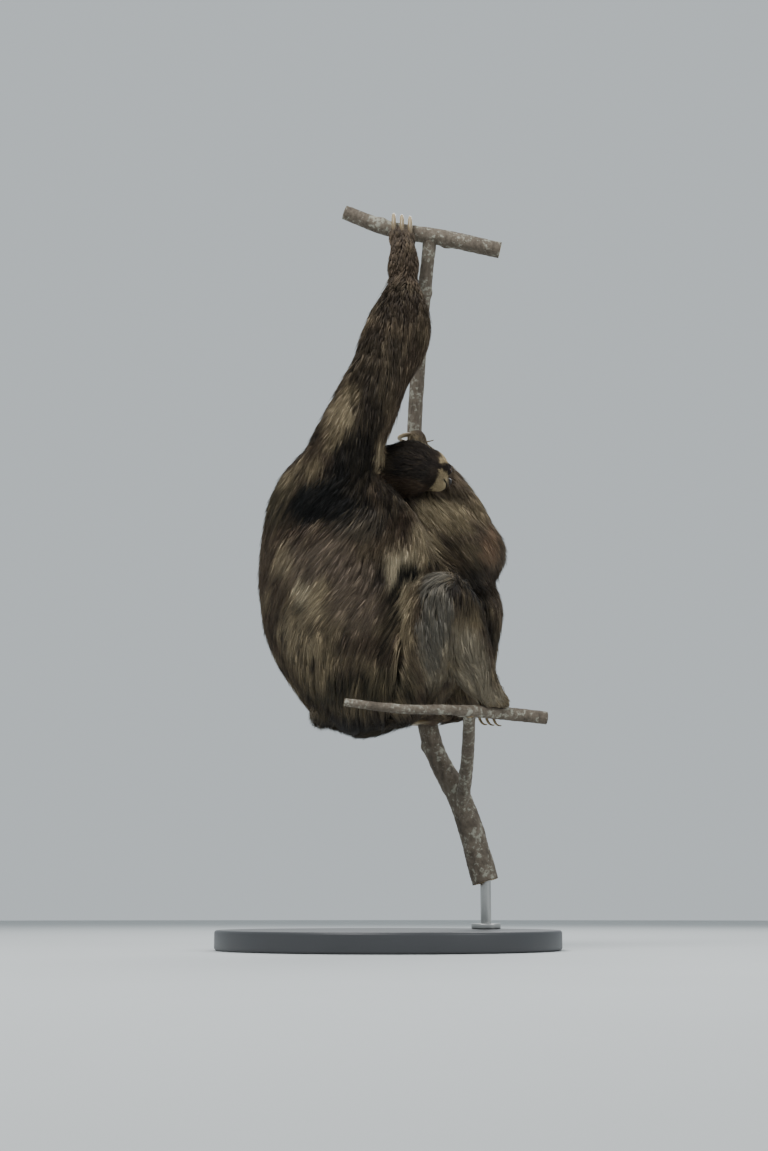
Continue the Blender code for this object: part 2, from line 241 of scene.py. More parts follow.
class Field:
    """A number or vector known at the corners of a cubic grid, read between them with trilinear weights."""

    def __init__(self, values, low):
        self.values = values
        self.low = low

    def at(self, places):
        """The values at the eight corners of the cube round each place, by their trilinear weights."""
        grid = (places - self.low) / VOXEL
        grid = np.clip(grid, 0, np.array(self.values.shape[:3]) - 1.001)
        cell = grid.astype(np.int64)
        part = grid - cell
        total = 0
        for corner in range(8):
            step = np.array([(corner >> axis) & 1 for axis in range(3)])
            weight = np.prod(np.where(step, part, 1 - part), axis=-1)
            value = self.values[tuple((cell + step).T)]
            total = total + (weight[:, None] * value if value.ndim > 1 else weight * value)
        return total

    def slope(self):
        """The unit direction of steepest rise."""
        rise = np.stack(np.gradient(self.values), axis=-1)
        return Field(unit(rise).astype(np.float32), self.low)


def mesh_arrays(mesh):
    """Corner places and triangles of a mesh."""
    mesh.calc_loop_triangles()
    places = np.empty(len(mesh.vertices) * 3, np.float32)
    mesh.vertices.foreach_get("co", places)
    triangles = np.empty(len(mesh.loop_triangles) * 3, np.int32)
    mesh.loop_triangles.foreach_get("vertices", triangles)
    return places.reshape(-1, 3), triangles.reshape(-1, 3)


def level_set(places, triangles, low, shape):
    """Distance to a closed surface at each corner of a grid, negative inside, true within BAND cells of it."""
    grid = vdb.FloatGrid.createLevelSetFromPolygons(
        ((places - low) / VOXEL).astype(np.float32),
        triangles=triangles.astype(np.uint32),
        transform=vdb.createLinearTransform(voxelSize=1.0),
        halfWidth=float(BAND),
    )
    values = np.full(shape, BAND, np.float32)
    grid.copyToArray(values)
    return values * VOXEL


def contour(values, low, level=0.0):
    """The surface where the values cross a level, as places and four-cornered faces that point outwards."""
    grid = vdb.FloatGrid(float(BAND * VOXEL))
    grid.copyFromArray(values)
    places, faces = grid.convertToQuads(isovalue=level)
    places = places.astype(np.float64) * VOXEL + low
    corners = places[faces]
    normal = np.cross(corners[:, 2] - corners[:, 0], corners[:, 3] - corners[:, 1])
    volume = np.sum(normal * corners.mean(axis=1))
    return places, faces if volume > 0 else faces[:, ::-1]


def blur(values, passes=1):
    """Each corner becomes the mean of itself and its neighbours along each axis in turn."""
    for _ in range(passes):
        for axis in range(3):
            values = (np.roll(values, 1, axis) + values * 2 + np.roll(values, -1, axis)) / 4
    return values


def soft_least(one, two, width):
    """The smaller of two distances, with a fillet of that width where they are alike."""
    share = np.clip(0.5 + 0.5 * (two - one) / width, 0, 1)
    return two + (one - two) * share - width * share * (1 - share)


def add_stalk(values, low, ends, radii, fillet):
    """Joins a rounded stalk, whose radius changes evenly from one end to the other, to a field of distances."""
    ends = np.array(ends)
    first = np.maximum(np.floor((ends.min(axis=0) - 0.04 - low) / VOXEL).astype(int), 0)
    last = np.minimum(np.ceil((ends.max(axis=0) + 0.04 - low) / VOXEL).astype(int), values.shape)
    span = [np.arange(a, b) for a, b in zip(first, last)]
    corners = np.stack(np.meshgrid(*span, indexing="ij"), axis=-1) * VOXEL + low
    way = ends[1] - ends[0]
    share = np.clip((corners - ends[0]) @ way / (way @ way), 0, 1)
    gap = np.linalg.norm(corners - ends[0] - share[..., None] * way, axis=-1)
    gap -= radii[0] + share * (radii[1] - radii[0])
    box = tuple(slice(a, b) for a, b in zip(first, last))
    values[box] = soft_least(values[box], gap, fillet)


def head_axes():
    """The head's own ways: forward, to its left, and above."""
    flat = math.cos(HEAD_PITCH)
    forward = np.array(
        (flat * math.cos(HEAD_AZIMUTH), flat * math.sin(HEAD_AZIMUTH), math.sin(HEAD_PITCH))
    )
    left = np.array((-math.sin(HEAD_AZIMUTH), math.cos(HEAD_AZIMUTH), 0.0))
    return np.array((forward, left, np.cross(forward, left)))


def in_head(places):
    """Places as ahead of, to the left of and above the head's middle."""
    return (places - HEAD_CENTRE) @ head_axes().T


def kind_of(node):
    """The part of the body that a node belongs to, without its side."""
    for start, part in (("eye", "head"), ("nose", "head"), ("claw_hand", "hand"), ("claw_foot", "foot")):
        if node.startswith(start):
            return part
    return node.rsplit("_", 1)[0] if node.endswith(SIDES) else node


@functools.lru_cache(maxsize=1)
def body():
    """Fields of the body: the outline of the coat, the skin under it, the wood, and the node nearest each place.

    The solids are joined with a small swelling that closes the gaps between them. The surface of that
    union gives the true distance to the tips of the coat, and the skin lies where that distance plus the
    local depth of the coat is zero. The depth is blurred, so that the skin passes smoothly over joints.
    """
    nodes = FLESH + ["eye_right", "eye_left", "nose"] + CLAWS
    meshes = {name: mesh_arrays(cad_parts[name].data) for name in nodes + PERCH}
    reach = np.vstack([meshes[name][0] for name in FLESH])
    low = reach.min(axis=0) - MARGIN * VOXEL
    shape = tuple(np.ceil((reach.max(axis=0) + MARGIN * VOXEL - low) / VOXEL).astype(int))
    nearest = np.full(shape, 1.0, np.float32)
    owner = np.zeros(shape, np.int16)
    gaps = {True: nearest, False: nearest}
    for index, name in enumerate(nodes):
        values = level_set(*meshes[name], low, shape)
        on_head = kind_of(name) == "head"
        gaps[on_head] = np.minimum(gaps[on_head], values)
        closer = values < nearest
        nearest[closer] = values[closer]
        owner[closer] = index
    places, faces = contour(nearest - JOIN, low)
    triangles = np.vstack([faces[:, (0, 1, 2)], faces[:, (0, 2, 3)]])
    outline = level_set(places, triangles, low, shape) + JOIN
    wood = functools.reduce(np.minimum, (level_set(*meshes[name], low, shape) for name in PERCH))
    depth = np.array([COAT[kind_of(name)][0] for name in nodes], np.float32)[owner]
    corners = np.stack(np.meshgrid(*map(np.arange, shape), indexing="ij"), axis=-1) * VOXEL + low
    local = in_head(corners)
    clear = smooth(0.002, 0.014, gaps[False] - gaps[True])
    face = blur((smooth(0.008, 0.030, local[..., 0]) * clear).astype(np.float32), 2)
    depth = blur(depth.astype(np.float32), 10)
    skin = blur(outline + depth, 3) * (1 - face) + blur(outline + FACE[0], 1) * face
    depth = depth * (1 - face) + FACE[0] * face
    offset = local - MUZZLE[0]
    far = np.linalg.norm(offset / MUZZLE[1], axis=-1)
    slope = np.linalg.norm(offset / np.square(MUZZLE[1]), axis=-1)
    muzzle = far * (far - 1) / np.maximum(slope, 1.0)
    skin = np.where(np.linalg.norm(local, axis=-1) < 0.08, soft_least(skin, muzzle, 0.006), skin)
    for name in CLAWS:
        root, on = claw_path(name, np.array((0.0, 0.13)))[0]
        middle = claw_path(name[:-1] + "2", np.zeros(1))[0][0]
        start, end = (np.array(point) for point in JOINTS[name.split("_")[2]][kind_of(name)])
        start = end - unit(end - start) * 0.026 + (root - middle) * 0.35
        wide = 0.0074 if "hand" in name else 0.0064
        for ends, radii in (((start, root), (wide + 0.0030, wide)), ((root, on), (wide, wide - 0.0010))):
            add_stalk(skin, low, ends, radii, 0.006)
            add_stalk(outline, low, ends, np.add(radii, 0.002), 0.003)
    add_stalk(skin, low, BRIDGE[:2], (BRIDGE[2] - 0.007,) * 2, 0.020)
    add_stalk(outline, low, BRIDGE[:2], (BRIDGE[2],) * 2, 0.010)
    found = {
        "outline": Field(outline, low),
        "skin": Field(skin, low),
        "wood": Field(wood, low),
        "depth": Field(depth, low),
        "owner": owner,
        "low": low,
        "names": nodes,
    }
    found["outward"] = found["skin"].slope()
    found["outline_slope"] = found["outline"].slope()
    found["wood_slope"] = found["wood"].slope()
    return found


def owner_at(places):
    """Index of the node nearest each place."""
    fields = body()
    cell = np.rint((places - fields["low"]) / VOXEL).astype(int)
    cell = np.clip(cell, 0, np.array(fields["owner"].shape) - 1)
    return fields["owner"][tuple(cell.T)]


def largest_shell(places, faces):
    """The faces of the largest joined surface, with unused places left out."""
    label = np.arange(len(places))
    while True:
        lowest = label[faces].min(axis=1)
        fresh = label.copy()
        np.minimum.at(fresh, faces.reshape(-1), np.repeat(lowest, faces.shape[1]))
        fresh = fresh[fresh]
        if (fresh == label).all():
            break
        label = fresh
    names, counts = np.unique(label[faces[:, 0]], return_counts=True)
    faces = faces[label[faces[:, 0]] == names[np.argmax(counts)]]
    used, faces = np.unique(faces, return_inverse=True)
    return places[used], faces.reshape(-1, 4)


def relax(places, faces, times, share=0.5):
    """Each place moves towards the mean of its neighbours along the edges of the faces."""
    ends = np.vstack([faces[:, (a, (a + 1) % 4)] for a in range(4)])
    count = np.bincount(ends[:, 0], minlength=len(places)) + np.bincount(ends[:, 1], minlength=len(places))
    for _ in range(times):
        total = np.stack(
            [
                np.bincount(ends[:, 0], places[ends[:, 1], axis], len(places))
                + np.bincount(ends[:, 1], places[ends[:, 0], axis], len(places))
                for axis in range(3)
            ],
            axis=-1,
        )
        places = places + share * (total / count[:, None] - places)
    return places


def new_mesh(name, places, faces):
    """A mesh from arrays: places, and faces that all have the same number of corners."""
    mesh = bpy.data.meshes.new(name)
    faces = np.asarray(faces)
    mesh.vertices.add(len(places))
    mesh.vertices.foreach_set("co", np.asarray(places, np.float32).reshape(-1))
    mesh.loops.add(faces.size)
    mesh.loops.foreach_set("vertex_index", faces.astype(np.int32).reshape(-1))
    mesh.polygons.add(len(faces))
    mesh.polygons.foreach_set("loop_start", np.arange(len(faces), dtype=np.int32) * faces.shape[1])
    mesh.update(calc_edges=True)
    mesh.polygons.foreach_set("use_smooth", np.ones(len(faces), bool))
    return mesh


def add_piece(mesh, material, slot, *replaced):
    """An object of a finished mesh that rides on the model, wears a material and stands for CAD nodes."""
    piece = bpy.data.objects.new(mesh.name, mesh)
    bpy.context.scene.collection.objects.link(piece)
    if not mesh.materials:
        mesh.materials.append(material)
    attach(piece, "root")
    if replaced:
        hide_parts(*replaced)
    return piece


# Markings and painted shade: a middle, the half sizes of an oval, a colour and how strong it is
BROWN = chip(86, 72, 58)
PALETTE = {
    "night": chip(12, 11, 10),
    "umber": chip(34, 28, 23),
    "crown": chip(25, 20, 18),
    "earth": chip(66, 52, 41),
    "mauve": chip(121, 106, 92),
    "lead": chip(64, 58, 52),
    "slate": chip(112, 107, 97),
    "ash": chip(152, 141, 121),
    "pale": chip(174, 157, 127),
    "straw": chip(138, 123, 97),
    "cream": chip(200, 184, 154),
    "olive": chip(74, 68, 50),
    "moss": chip(68, 64, 47),
    "tan": chip(140, 114, 92),
    "throat": chip(84, 68, 54),
    "buff": chip(182, 163, 128),
    "stripe": chip(38, 29, 24),
}
MARKS_AND_SHADE = [
    # back, flank and belly
    ((-0.165, -0.04, 0.660), (0.030, 0.09, 0.055), "olive", 0.7),
    ((-0.105, -0.11, 0.560), (0.062, 0.10, 0.042), "mauve", 0.75),
    ((-0.115, -0.11, 0.592), (0.046, 0.09, 0.018), "earth", 0.75),
    ((-0.045, -0.11, 0.612), (0.045, 0.09, 0.030), "lead", 0.85),
    ((-0.040, -0.11, 0.500), (0.040, 0.09, 0.060), "mauve", 0.7),
    ((-0.008, -0.11, 0.520), (0.016, 0.09, 0.034), "umber", 0.75),
    ((-0.118, -0.10, 0.450), (0.050, 0.10, 0.072), "straw", 0.6),
    ((-0.119, -0.11, 0.506), (0.015, 0.09, 0.022), "cream", 0.95),
    ((-0.098, -0.11, 0.510), (0.015, 0.09, 0.018), "pale", 0.8),
    ((-0.107, -0.11, 0.481), (0.027, 0.09, 0.014), "pale", 0.85),
    ((-0.149, -0.09, 0.455), (0.012, 0.09, 0.020), "pale", 0.7),
    ((-0.152, -0.09, 0.556), (0.018, 0.09, 0.028), "pale", 0.6),
    ((-0.136, -0.10, 0.440), (0.013, 0.09, 0.040), "pale", 0.65),
    ((-0.112, -0.11, 0.420), (0.011, 0.09, 0.026), "pale", 0.6),
    ((-0.060, -0.10, 0.410), (0.040, 0.09, 0.016), "straw", 0.5),
    ((-0.052, -0.09, 0.366), (0.050, 0.10, 0.024), "moss", 0.75),
    ((0.000, -0.09, 0.378), (0.044, 0.10, 0.028), "moss", 0.75),
    ((-0.034, -0.10, 0.386), (0.014, 0.09, 0.012), "night", 0.8),
    ((0.008, -0.10, 0.398), (0.012, 0.09, 0.013), "umber", 0.7),
    ((-0.070, -0.10, 0.374), (0.012, 0.09, 0.010), "umber", 0.6),
    ((-0.110, -0.10, 0.366), (0.032, 0.09, 0.030), "olive", 0.7),
    ((-0.112, -0.10, 0.388), (0.036, 0.09, 0.022), "straw", 0.7),
    # painted shade along the bottom of the body, above the seat
    ((-0.040, -0.03, 0.314), (0.110, 0.12, 0.022), "night", 0.8),
    ((0.018, -0.06, 0.612), (0.026, 0.09, 0.030), "earth", 0.9),
    # far arm and the hair between it and the thigh
    ((0.082, -0.01, 0.650), (0.044, 0.09, 0.026), "pale", 0.9),
    ((0.056, -0.01, 0.602), (0.027, 0.09, 0.027), "pale", 0.9),
    ((0.106, 0.00, 0.630), (0.028, 0.09, 0.022), "straw", 0.85),
    ((0.092, -0.02, 0.600), (0.020, 0.08, 0.013), "umber", 0.7),
    ((0.104, -0.02, 0.572), (0.024, 0.08, 0.018), "earth", 0.7),
    ((0.138, 0.00, 0.572), (0.018, 0.08, 0.016), "umber", 0.7),
    ((0.122, -0.02, 0.525), (0.038, 0.13, 0.050), "umber", 0.9),
    ((0.142, 0.02, 0.470), (0.022, 0.13, 0.050), "umber", 0.8),
    ((0.150, 0.02, 0.600), (0.018, 0.09, 0.026), "tan", 0.9),
    ((0.166, 0.03, 0.560), (0.014, 0.09, 0.016), "earth", 0.8),
    ((0.040, 0.10, 0.760), (0.045, 0.05, 0.040), "straw", 0.8),
    # near leg
    ((0.100, -0.10, 0.398), (0.054, 0.09, 0.060), "ash", 0.95),
    ((0.070, -0.10, 0.490), (0.024, 0.09, 0.060), "slate", 0.9),
    ((0.056, -0.12, 0.430), (0.018, 0.09, 0.044), "slate", 0.8),
    ((0.140, -0.06, 0.362), (0.030, 0.06, 0.020), "ash", 0.9),
    ((0.108, -0.09, 0.500), (0.022, 0.08, 0.034), "umber", 0.85),
    ((0.022, -0.08, 0.542), (0.034, 0.09, 0.032), "cream", 0.85),
    ((0.028, -0.08, 0.541), (0.020, 0.09, 0.016), "night", 1.0),
    ((0.047, -0.06, 0.568), (0.015, 0.09, 0.012), "pale", 0.9),
    ((0.021, -0.08, 0.488), (0.013, 0.09, 0.032), "pale", 0.95),
    ((0.025, -0.10, 0.440), (0.014, 0.09, 0.030), "straw", 0.85),
    ((0.010, -0.10, 0.494), (0.011, 0.09, 0.042), "umber", 0.95),
    ((0.000, -0.10, 0.450), (0.010, 0.09, 0.040), "umber", 0.7),
    ((0.070, -0.05, 0.560), (0.014, 0.09, 0.012), "umber", 0.9),
    ((0.020, -0.10, 0.398), (0.013, 0.09, 0.012), "umber", 0.7),
    # near arm and shoulder
    # painted shade in the fold beside the raised arm, below the head
    ((-0.046, -0.11, 0.700), (0.038, 0.09, 0.055), "night", 0.85),
    ((-0.032, -0.11, 0.770), (0.032, 0.08, 0.050), "umber", 0.75),
    ((-0.020, -0.10, 0.862), (0.042, 0.09, 0.056), "umber", 0.6),
    ((0.022, -0.05, 0.952), (0.042, 0.09, 0.046), "umber", 0.5),
    ((-0.004, -0.07, 0.712), (0.015, 0.08, 0.028), "pale", 0.85),
    ((-0.110, -0.08, 0.762), (0.016, 0.08, 0.030), "umber", 0.75),
    ((-0.055, -0.10, 0.806), (0.014, 0.07, 0.020), "straw", 0.8),
    ((-0.070, -0.10, 0.772), (0.016, 0.07, 0.026), "pale", 0.85),
    ((-0.083, -0.10, 0.736), (0.013, 0.07, 0.022), "straw", 0.9),
    ((-0.140, -0.10, 0.692), (0.024, 0.09, 0.024), "straw", 0.85),
    ((-0.106, -0.11, 0.694), (0.017, 0.09, 0.022), "straw", 0.85),
    ((-0.123, -0.11, 0.684), (0.006, 0.09, 0.018), "umber", 0.8),
    # painted shade: the four ovals below darken the flank under the shoulder, where the arm's hair would shade it
    ((-0.098, -0.11, 0.637), (0.056, 0.09, 0.032), "night", 1.0),
    ((-0.072, -0.11, 0.678), (0.020, 0.09, 0.024), "night", 0.85),
    ((-0.036, -0.11, 0.641), (0.017, 0.09, 0.014), "night", 0.8),
    ((-0.152, -0.10, 0.632), (0.020, 0.09, 0.014), "umber", 0.85),
    # painted shadow under the head
    ((0.006, -0.07, 0.662), (0.024, 0.07, 0.044), "night", 0.7),
]


def markings(places, on_head):
    """Colour of the coat at each place: grizzled brown, broken pale blotches on the back, the named marks with their
    painted shade, the head.

    A mark covers what lies within its oval, whose distance is bent by a cloud so that its edge is ragged.
    """
    warped = places + 0.007 * cloud_vector(places, 0.024, 5) + 0.005 * cloud_vector(places, 0.010, 9)
    colour = np.tile(BROWN, (len(places), 1))
    colour = colour * (1 + 0.25 * cloud(warped, 0.030, 2)[:, None])

    def lay(share, name):
        nonlocal colour
        share = share[:, None]
        colour = colour * (1 - share) + PALETTE[name] * share

    away = smooth(-0.05, 0.03, places[:, 1])
    rump = smooth(0.56, 0.46, places[:, 2])
    lay(away * 0.45, "mauve")
    lay(smooth(0.05, 0.40, cloud(warped, 0.040, 21)) * (0.25 + 0.55 * np.maximum(away, rump)), "straw")
    lay(smooth(0.26, 0.52, cloud(warped, 0.030, 25)) * away * 0.35, "umber")
    lay(smooth(0.20, 0.45, cloud(warped, 0.050, 27)) * away * rump * 0.6, "moss")
    for centre, size, name, strength in MARKS_AND_SHADE:
        lay(strength * smooth(1.10, 0.80, np.linalg.norm((warped - centre) / size, axis=1)), name)
    spots = smooth(0.20, 0.45, cloud(warped * (1.3, 1, 0.8), 0.014, 33)) * rump
    lay(spots * smooth(-0.03, -0.07, places[:, 0]) * 0.8, "umber")
    flecks = smooth(0.05, 0.40, cloud(warped * (1.2, 1, 0.9), 0.015, 37)) * smooth(0.425, 0.400, places[:, 2])
    lay(flecks * smooth(0.318, 0.338, places[:, 2]) * 0.55, "straw")
    return head_markings(places, colour, on_head)


def head_markings(places, colour, on_head):
    """The head's own markings over a colour: dark crown, buff face, a dark stripe through each eye, brown throat."""
    ahead, aside, up = in_head(places).T
    near = smooth(0.075, 0.060, np.linalg.norm(places - HEAD_CENTRE, axis=1)) * on_head
    ragged = 0.0025 * cloud(places, 0.006, 41) + 0.002 * cloud(places, 0.015, 42)
    aside = np.abs(aside)

    def lay(share, name):
        nonlocal colour
        share = (share * near)[:, None]
        colour = colour * (1 - share) + PALETTE[name] * share

    lay(np.full(len(places), 0.85), "crown")
    lay(smooth(0.008, 0.030, ahead + 3 * ragged) * 0.35, "earth")
    face = smooth(0.030, 0.038, ahead + 1.8 * ragged - 0.30 * np.maximum(up - 0.012, 0))
    lay(face * 0.92, "buff")
    line = up - 0.006 + 0.30 * (aside - 0.0175)
    stripe = smooth(0.0066, 0.0036, np.abs(line + ragged))
    lay(stripe * smooth(0.011, 0.0145, aside) * smooth(0.004, 0.014, ahead), "stripe")
    for middle, _, _, _ in eye_frames():
        lay(smooth(0.0092, 0.0070, np.linalg.norm(places - middle, axis=1) + 0.6 * ragged), "stripe")
    throat = smooth(-0.024, -0.030, up + ragged) * smooth(0.046, 0.036, ahead)
    lay(throat * 0.85, "throat")
    muzzle = smooth(0.0150, 0.0095, np.hypot(aside, up + 0.0085)) * smooth(0.044, 0.050, ahead)
    lay(muzzle * 0.8, "earth")
    mouth = smooth(0.0017, 0.0007, np.abs(up - mouth_height(aside)))
    lay(mouth * smooth(0.0195, 0.0165, aside) * smooth(0.02, 0.03, ahead), "night")
    return colour


def mouth_height(aside):
    """Height of the mouth's line over the head's middle: lowest under the nose and turned up at the corners."""
    return -0.0178 + 0.0075 * smooth(0.0, 0.021, np.abs(aside)) ** 1.3


def eye_frames():
    """For each eye its middle, the way out, the way along the slit and the way up."""
    frames = []
    forward, left, above = head_axes()
    for name, side in (("eye_left", 1), ("eye_right", -1)):
        low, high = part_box(name)
        middle = (np.array(low) + np.array(high)) / 2
        out = unit(forward * 0.80 + left * side * 0.58 + above * 0.12)
        along = unit(left * side - out * float(out @ left) * side)
        frames.append((middle, out, along, unit(np.cross(out, along)) * side))
    return frames


def shape_head(places):
    """The face modelled on the skin: lids on the eyeballs, a pad under the nose, the lip line and a chin.

    Lips: the skin is pressed in by a bell curve across the mouth's line and across the cleft under the nose, and
    pushed out by wider ones over the upper lip and the chin. Lids: about each eye the height over the eye's plane is
    the height of a ball a little larger than the eye outside the slit and a little smaller inside it, and fades to
    the skin's own height away from the eye.
    """
    forward = head_axes()[0]
    ahead, aside, up = in_head(places).T
    wide = np.abs(aside)
    over = up - mouth_height(aside)
    inward = 0.0018 * np.exp(-((over / 0.0010) ** 2)) * smooth(0.020, 0.016, wide)
    inward += 0.0008 * np.exp(-((aside / 0.0008) ** 2)) * smooth(-0.0185, -0.0165, up) * smooth(-0.008, -0.011, up)
    inward -= 0.0012 * np.exp(-(((over - 0.0030) / 0.0022) ** 2)) * smooth(0.014, 0.004, wide)
    inward -= 0.0014 * np.exp(-(((up + 0.0235) / 0.0035) ** 2)) * smooth(0.012, 0.003, wide)
    inward *= smooth(0.012, 0.026, ahead) * smooth(0.022, 0.034, ahead)
    places = places - forward * inward[:, None]
    pad = np.hypot(aside / 0.0120, (up + 0.0080) / 0.0095)
    places = places + forward * (0.0010 * smooth(1.0, 0.5, pad) * smooth(0.036, 0.046, ahead))[:, None]
    for middle, out, along, rise in eye_frames():
        offset = places - middle
        height = offset @ out
        across, upward = offset @ along, offset @ rise
        reach = np.hypot(across, upward)
        slit = np.hypot(across / 0.0039, (upward - 0.0002) / (0.0031 - 0.10 * np.abs(across)))
        ball = np.sqrt(np.maximum(0.00535**2 - reach**2, 0.0030**2))
        inner = np.sqrt(np.maximum(0.0041**2 - reach**2, 0.0005**2))
        target = ball + (inner - ball) * smooth(1.06, 0.94, slit)
        ring = 0.0007 * np.exp(-(((reach - 0.0072) / 0.0009) ** 2))
        near = smooth(0.0098, 0.0046, reach) * (height > -0.012)
        lift = (target - height) * near - ring * (height > -0.012)
        places = places + out * lift[:, None]
    return places


def finer(mesh, regions):
    """Splits edges into three where both ends lie within a reach of a place and ahead of a plane of the head."""
    for centre, reach, low_ahead in regions:
        shape = bmesh.new()
        shape.from_mesh(mesh)
        shape.verts.ensure_lookup_table()
        where = np.array([vertex.co for vertex in shape.verts])
        inside = np.linalg.norm(where - centre, axis=1) < reach
        inside &= in_head(where)[:, 0] > low_ahead
        edges = [e for e in shape.edges if inside[e.verts[0].index] and inside[e.verts[1].index]]
        bmesh.ops.subdivide_edges(shape, edges=edges, cuts=2, use_grid_fill=True, smooth=0.6)
        bmesh.ops.triangulate(shape, faces=[face for face in shape.faces if len(face.verts) > 4])
        shape.to_mesh(mesh)
        shape.free()


@functools.lru_cache(maxsize=1)
def skin_mesh():
    """The one skin of the whole body, as a mesh with its markings and their painted shade."""
    fields = body()
    places, faces = contour(fields["skin"].values, fields["low"])
    places, faces = largest_shell(places, faces)
    places = relax(places, faces, 5)
    mesh = new_mesh("skin", places, faces)
    eyes = [(middle, 0.0125, -1.0) for middle, *_ in eye_frames()]
    muzzle = HEAD_CENTRE + head_axes().T @ np.array((0.047, 0.0, -0.014))
    finer(mesh, [(HEAD_CENTRE, 0.062, 0.010), *eyes, (muzzle, 0.024, -1.0)])
    places, _ = mesh_arrays(mesh)
    places = shape_head(places.astype(np.float64))
    mesh.vertices.foreach_set("co", places.astype(np.float32).reshape(-1))
    mesh.polygons.foreach_set("use_smooth", np.ones(len(mesh.polygons), bool))
    names = np.array([owner_part(node) for node in fields["names"]])[owner_at(places)]
    paint(mesh, markings(places, names == "head") * 0.75)
    mesh.update()
    return mesh


def paint(mesh, colours):
    """Stores a colour for each corner place of the mesh."""
    layer = mesh.color_attributes.new("Markings", "FLOAT_COLOR", "POINT")
    full = np.ones((len(colours), 4), np.float32)
    full[:, :3] = np.clip(colours, 0, 1)
    layer.data.foreach_set("color", full.reshape(-1))


PIECES = {
    "coat_rump": (("trunk", "tail"), 0.0, 0.425),
    "coat_loin": (("trunk",), 0.425, 0.505),
    "coat_back": (("trunk",), 0.505, 0.585),
    "coat_shoulders": (("trunk", "neck"), 0.585, 2.0),
    "coat_head": (("head",), 0.0, 2.0),
    "coat_arm_right": (("upper_arm_right", "forearm_right", "hand_right"), 0.0, 2.0),
    "coat_arm_left": (("upper_arm_left", "forearm_left", "hand_left"), 0.0, 2.0),
    "coat_leg_right": (("thigh_right", "shin_right", "foot_right"), 0.0, 2.0),
    "coat_leg_left": (("thigh_left", "shin_left", "foot_left"), 0.0, 2.0),
}
MOST_TRIANGLES = 196000
MOST_LOCKS = {
    "coat_head": 17000,
    "coat_arm_right": 19000,
    "coat_arm_left": 16500,
    "coat_leg_right": 15500,
    "coat_leg_left": 14000,
}


def lie(places, outward, kinds, sides):
    """The lie of the coat: the way each lock runs, along the skin.

    The trunk's runs from belly to back and down, steeper on the rump; the chest's parts at the middle and runs
    down; the arms' from wrist to shoulder or elbow and down; the legs' down; the head's back from the nose and
    out from the face. Where it would spread from one point, as on top of a knee, the locks are tousled instead,
    by a share given second.
    """
    low = smooth(0.53, 0.43, places[:, 2])[:, None]
    flow = np.array((-0.70, 0.0, -0.75)) * (1 - low) + np.array((-0.26, 0.0, -1.0)) * low
    flow += np.array((0, 1.0, 0)) * (np.sign(places[:, 1]) * 0.35 * smooth(0.0, 0.05, places[:, 0]))[:, None]
    for side in SIDES:
        for part in LIMB_PARTS:
            start, end = (np.array(point) for point in JOINTS[side][part])
            way = unit(end - start)
            mine = (kinds == part) & (sides == side)
            if part in ("upper_arm", "forearm", "hand"):
                way = -way if side == "right" or part != "upper_arm" else way
                flow[mine] = way * 0.8 + np.array((0, 0, -0.55))
            elif part == "foot":
                flow[mine] = way
            else:
                flow[mine] = (np.array((-0.10, 0.0, -1.0)) + np.array((0.45, 0.0, 0.0)) * low)[mine]
    flow[kinds == "neck"] = np.array((-0.9, 0.0, -0.45))
    front = (smooth(0.10, 0.60, outward[:, 0]) * np.isin(kinds, ("trunk", "neck")))[:, None]
    parted = np.full((len(places), 3), (-0.1, 0.0, -1.0))
    parted[:, 1] = 0.55 * np.tanh(places[:, 1] / 0.015)
    flow = flow * (1 - front) + parted * front
    forward, left, above = head_axes()
    ahead, aside, up = in_head(places).T
    head = kinds == "head"
    radial = left * aside[:, None] + above * (up + 0.010)[:, None]
    spread = unit(radial) * smooth(0.0, 0.012, np.linalg.norm(radial, axis=1))[:, None]
    droop = np.array((0, 0, -0.25)) * smooth(0.03, 0.0, ahead)[:, None]
    flow[head] = (-forward * 0.75 + spread * 0.8 + droop)[head]
    upright = smooth(0.6, 0.95, np.abs(np.sum(unit(flow) * outward, axis=1)))
    flow = flow + np.array((-0.8, 0.2, 0.0)) * (upright * ~head)[:, None]
    flow = flow + 0.28 * cloud_vector(places, 0.050, 3) + 0.13 * cloud_vector(places, 0.018, 4)
    whorl = smooth(0.84, 0.98, -np.sum(unit(flow) * outward, axis=1)) * ~head
    flow = unit(flow - outward * dot(flow, outward))
    tousled = flow + 2.0 * whorl[:, None] * cloud_vector(places, 0.0012, 51)
    return unit(tousled - outward * dot(tousled, outward)), whorl


def comb(roots, outward, flow, lengths, rise, hang, spare):
    """Points along each lock, one after the other.

    Each goes on along the lie, is turned down by its weight, is set to its height over the skin, which is the root's
    plus the rise x (1 - (1 - share of length) squared), and is kept off the wood and inside the coat's outline, but
    for a little to spare.
    """
    fields = body()
    skin, slope = fields["skin"], fields["outward"]
    level = skin.at(roots)
    points = [roots - outward * ROOT_DEPTH]
    heading = flow
    place = roots
    for before, after in zip(LOCK_POINTS, LOCK_POINTS[1:]):
        step = lengths * (after - before)
        place = place + heading * step[:, None]
        away = slope.at(place)
        height = level + rise * (1 - (1 - after) ** 2)
        place = place + away * np.clip(height - skin.at(place), -0.7 * step, 0.7 * step)[:, None]
        over = fields["outline"].at(place) - spare
        place = place - fields["outline_slope"].at(place) * np.clip(over, 0, step)[:, None]
        near = WOOD_GAP - fields["wood"].at(place)
        place = place + fields["wood_slope"].at(place) * np.clip(near, 0, step)[:, None]
        points.append(place)
        heading = heading - away * dot(heading, away) * 0.9 + np.array((0, 0, -1.0)) * hang[:, None]
        heading = unit(heading)
    return np.stack(points, axis=1)


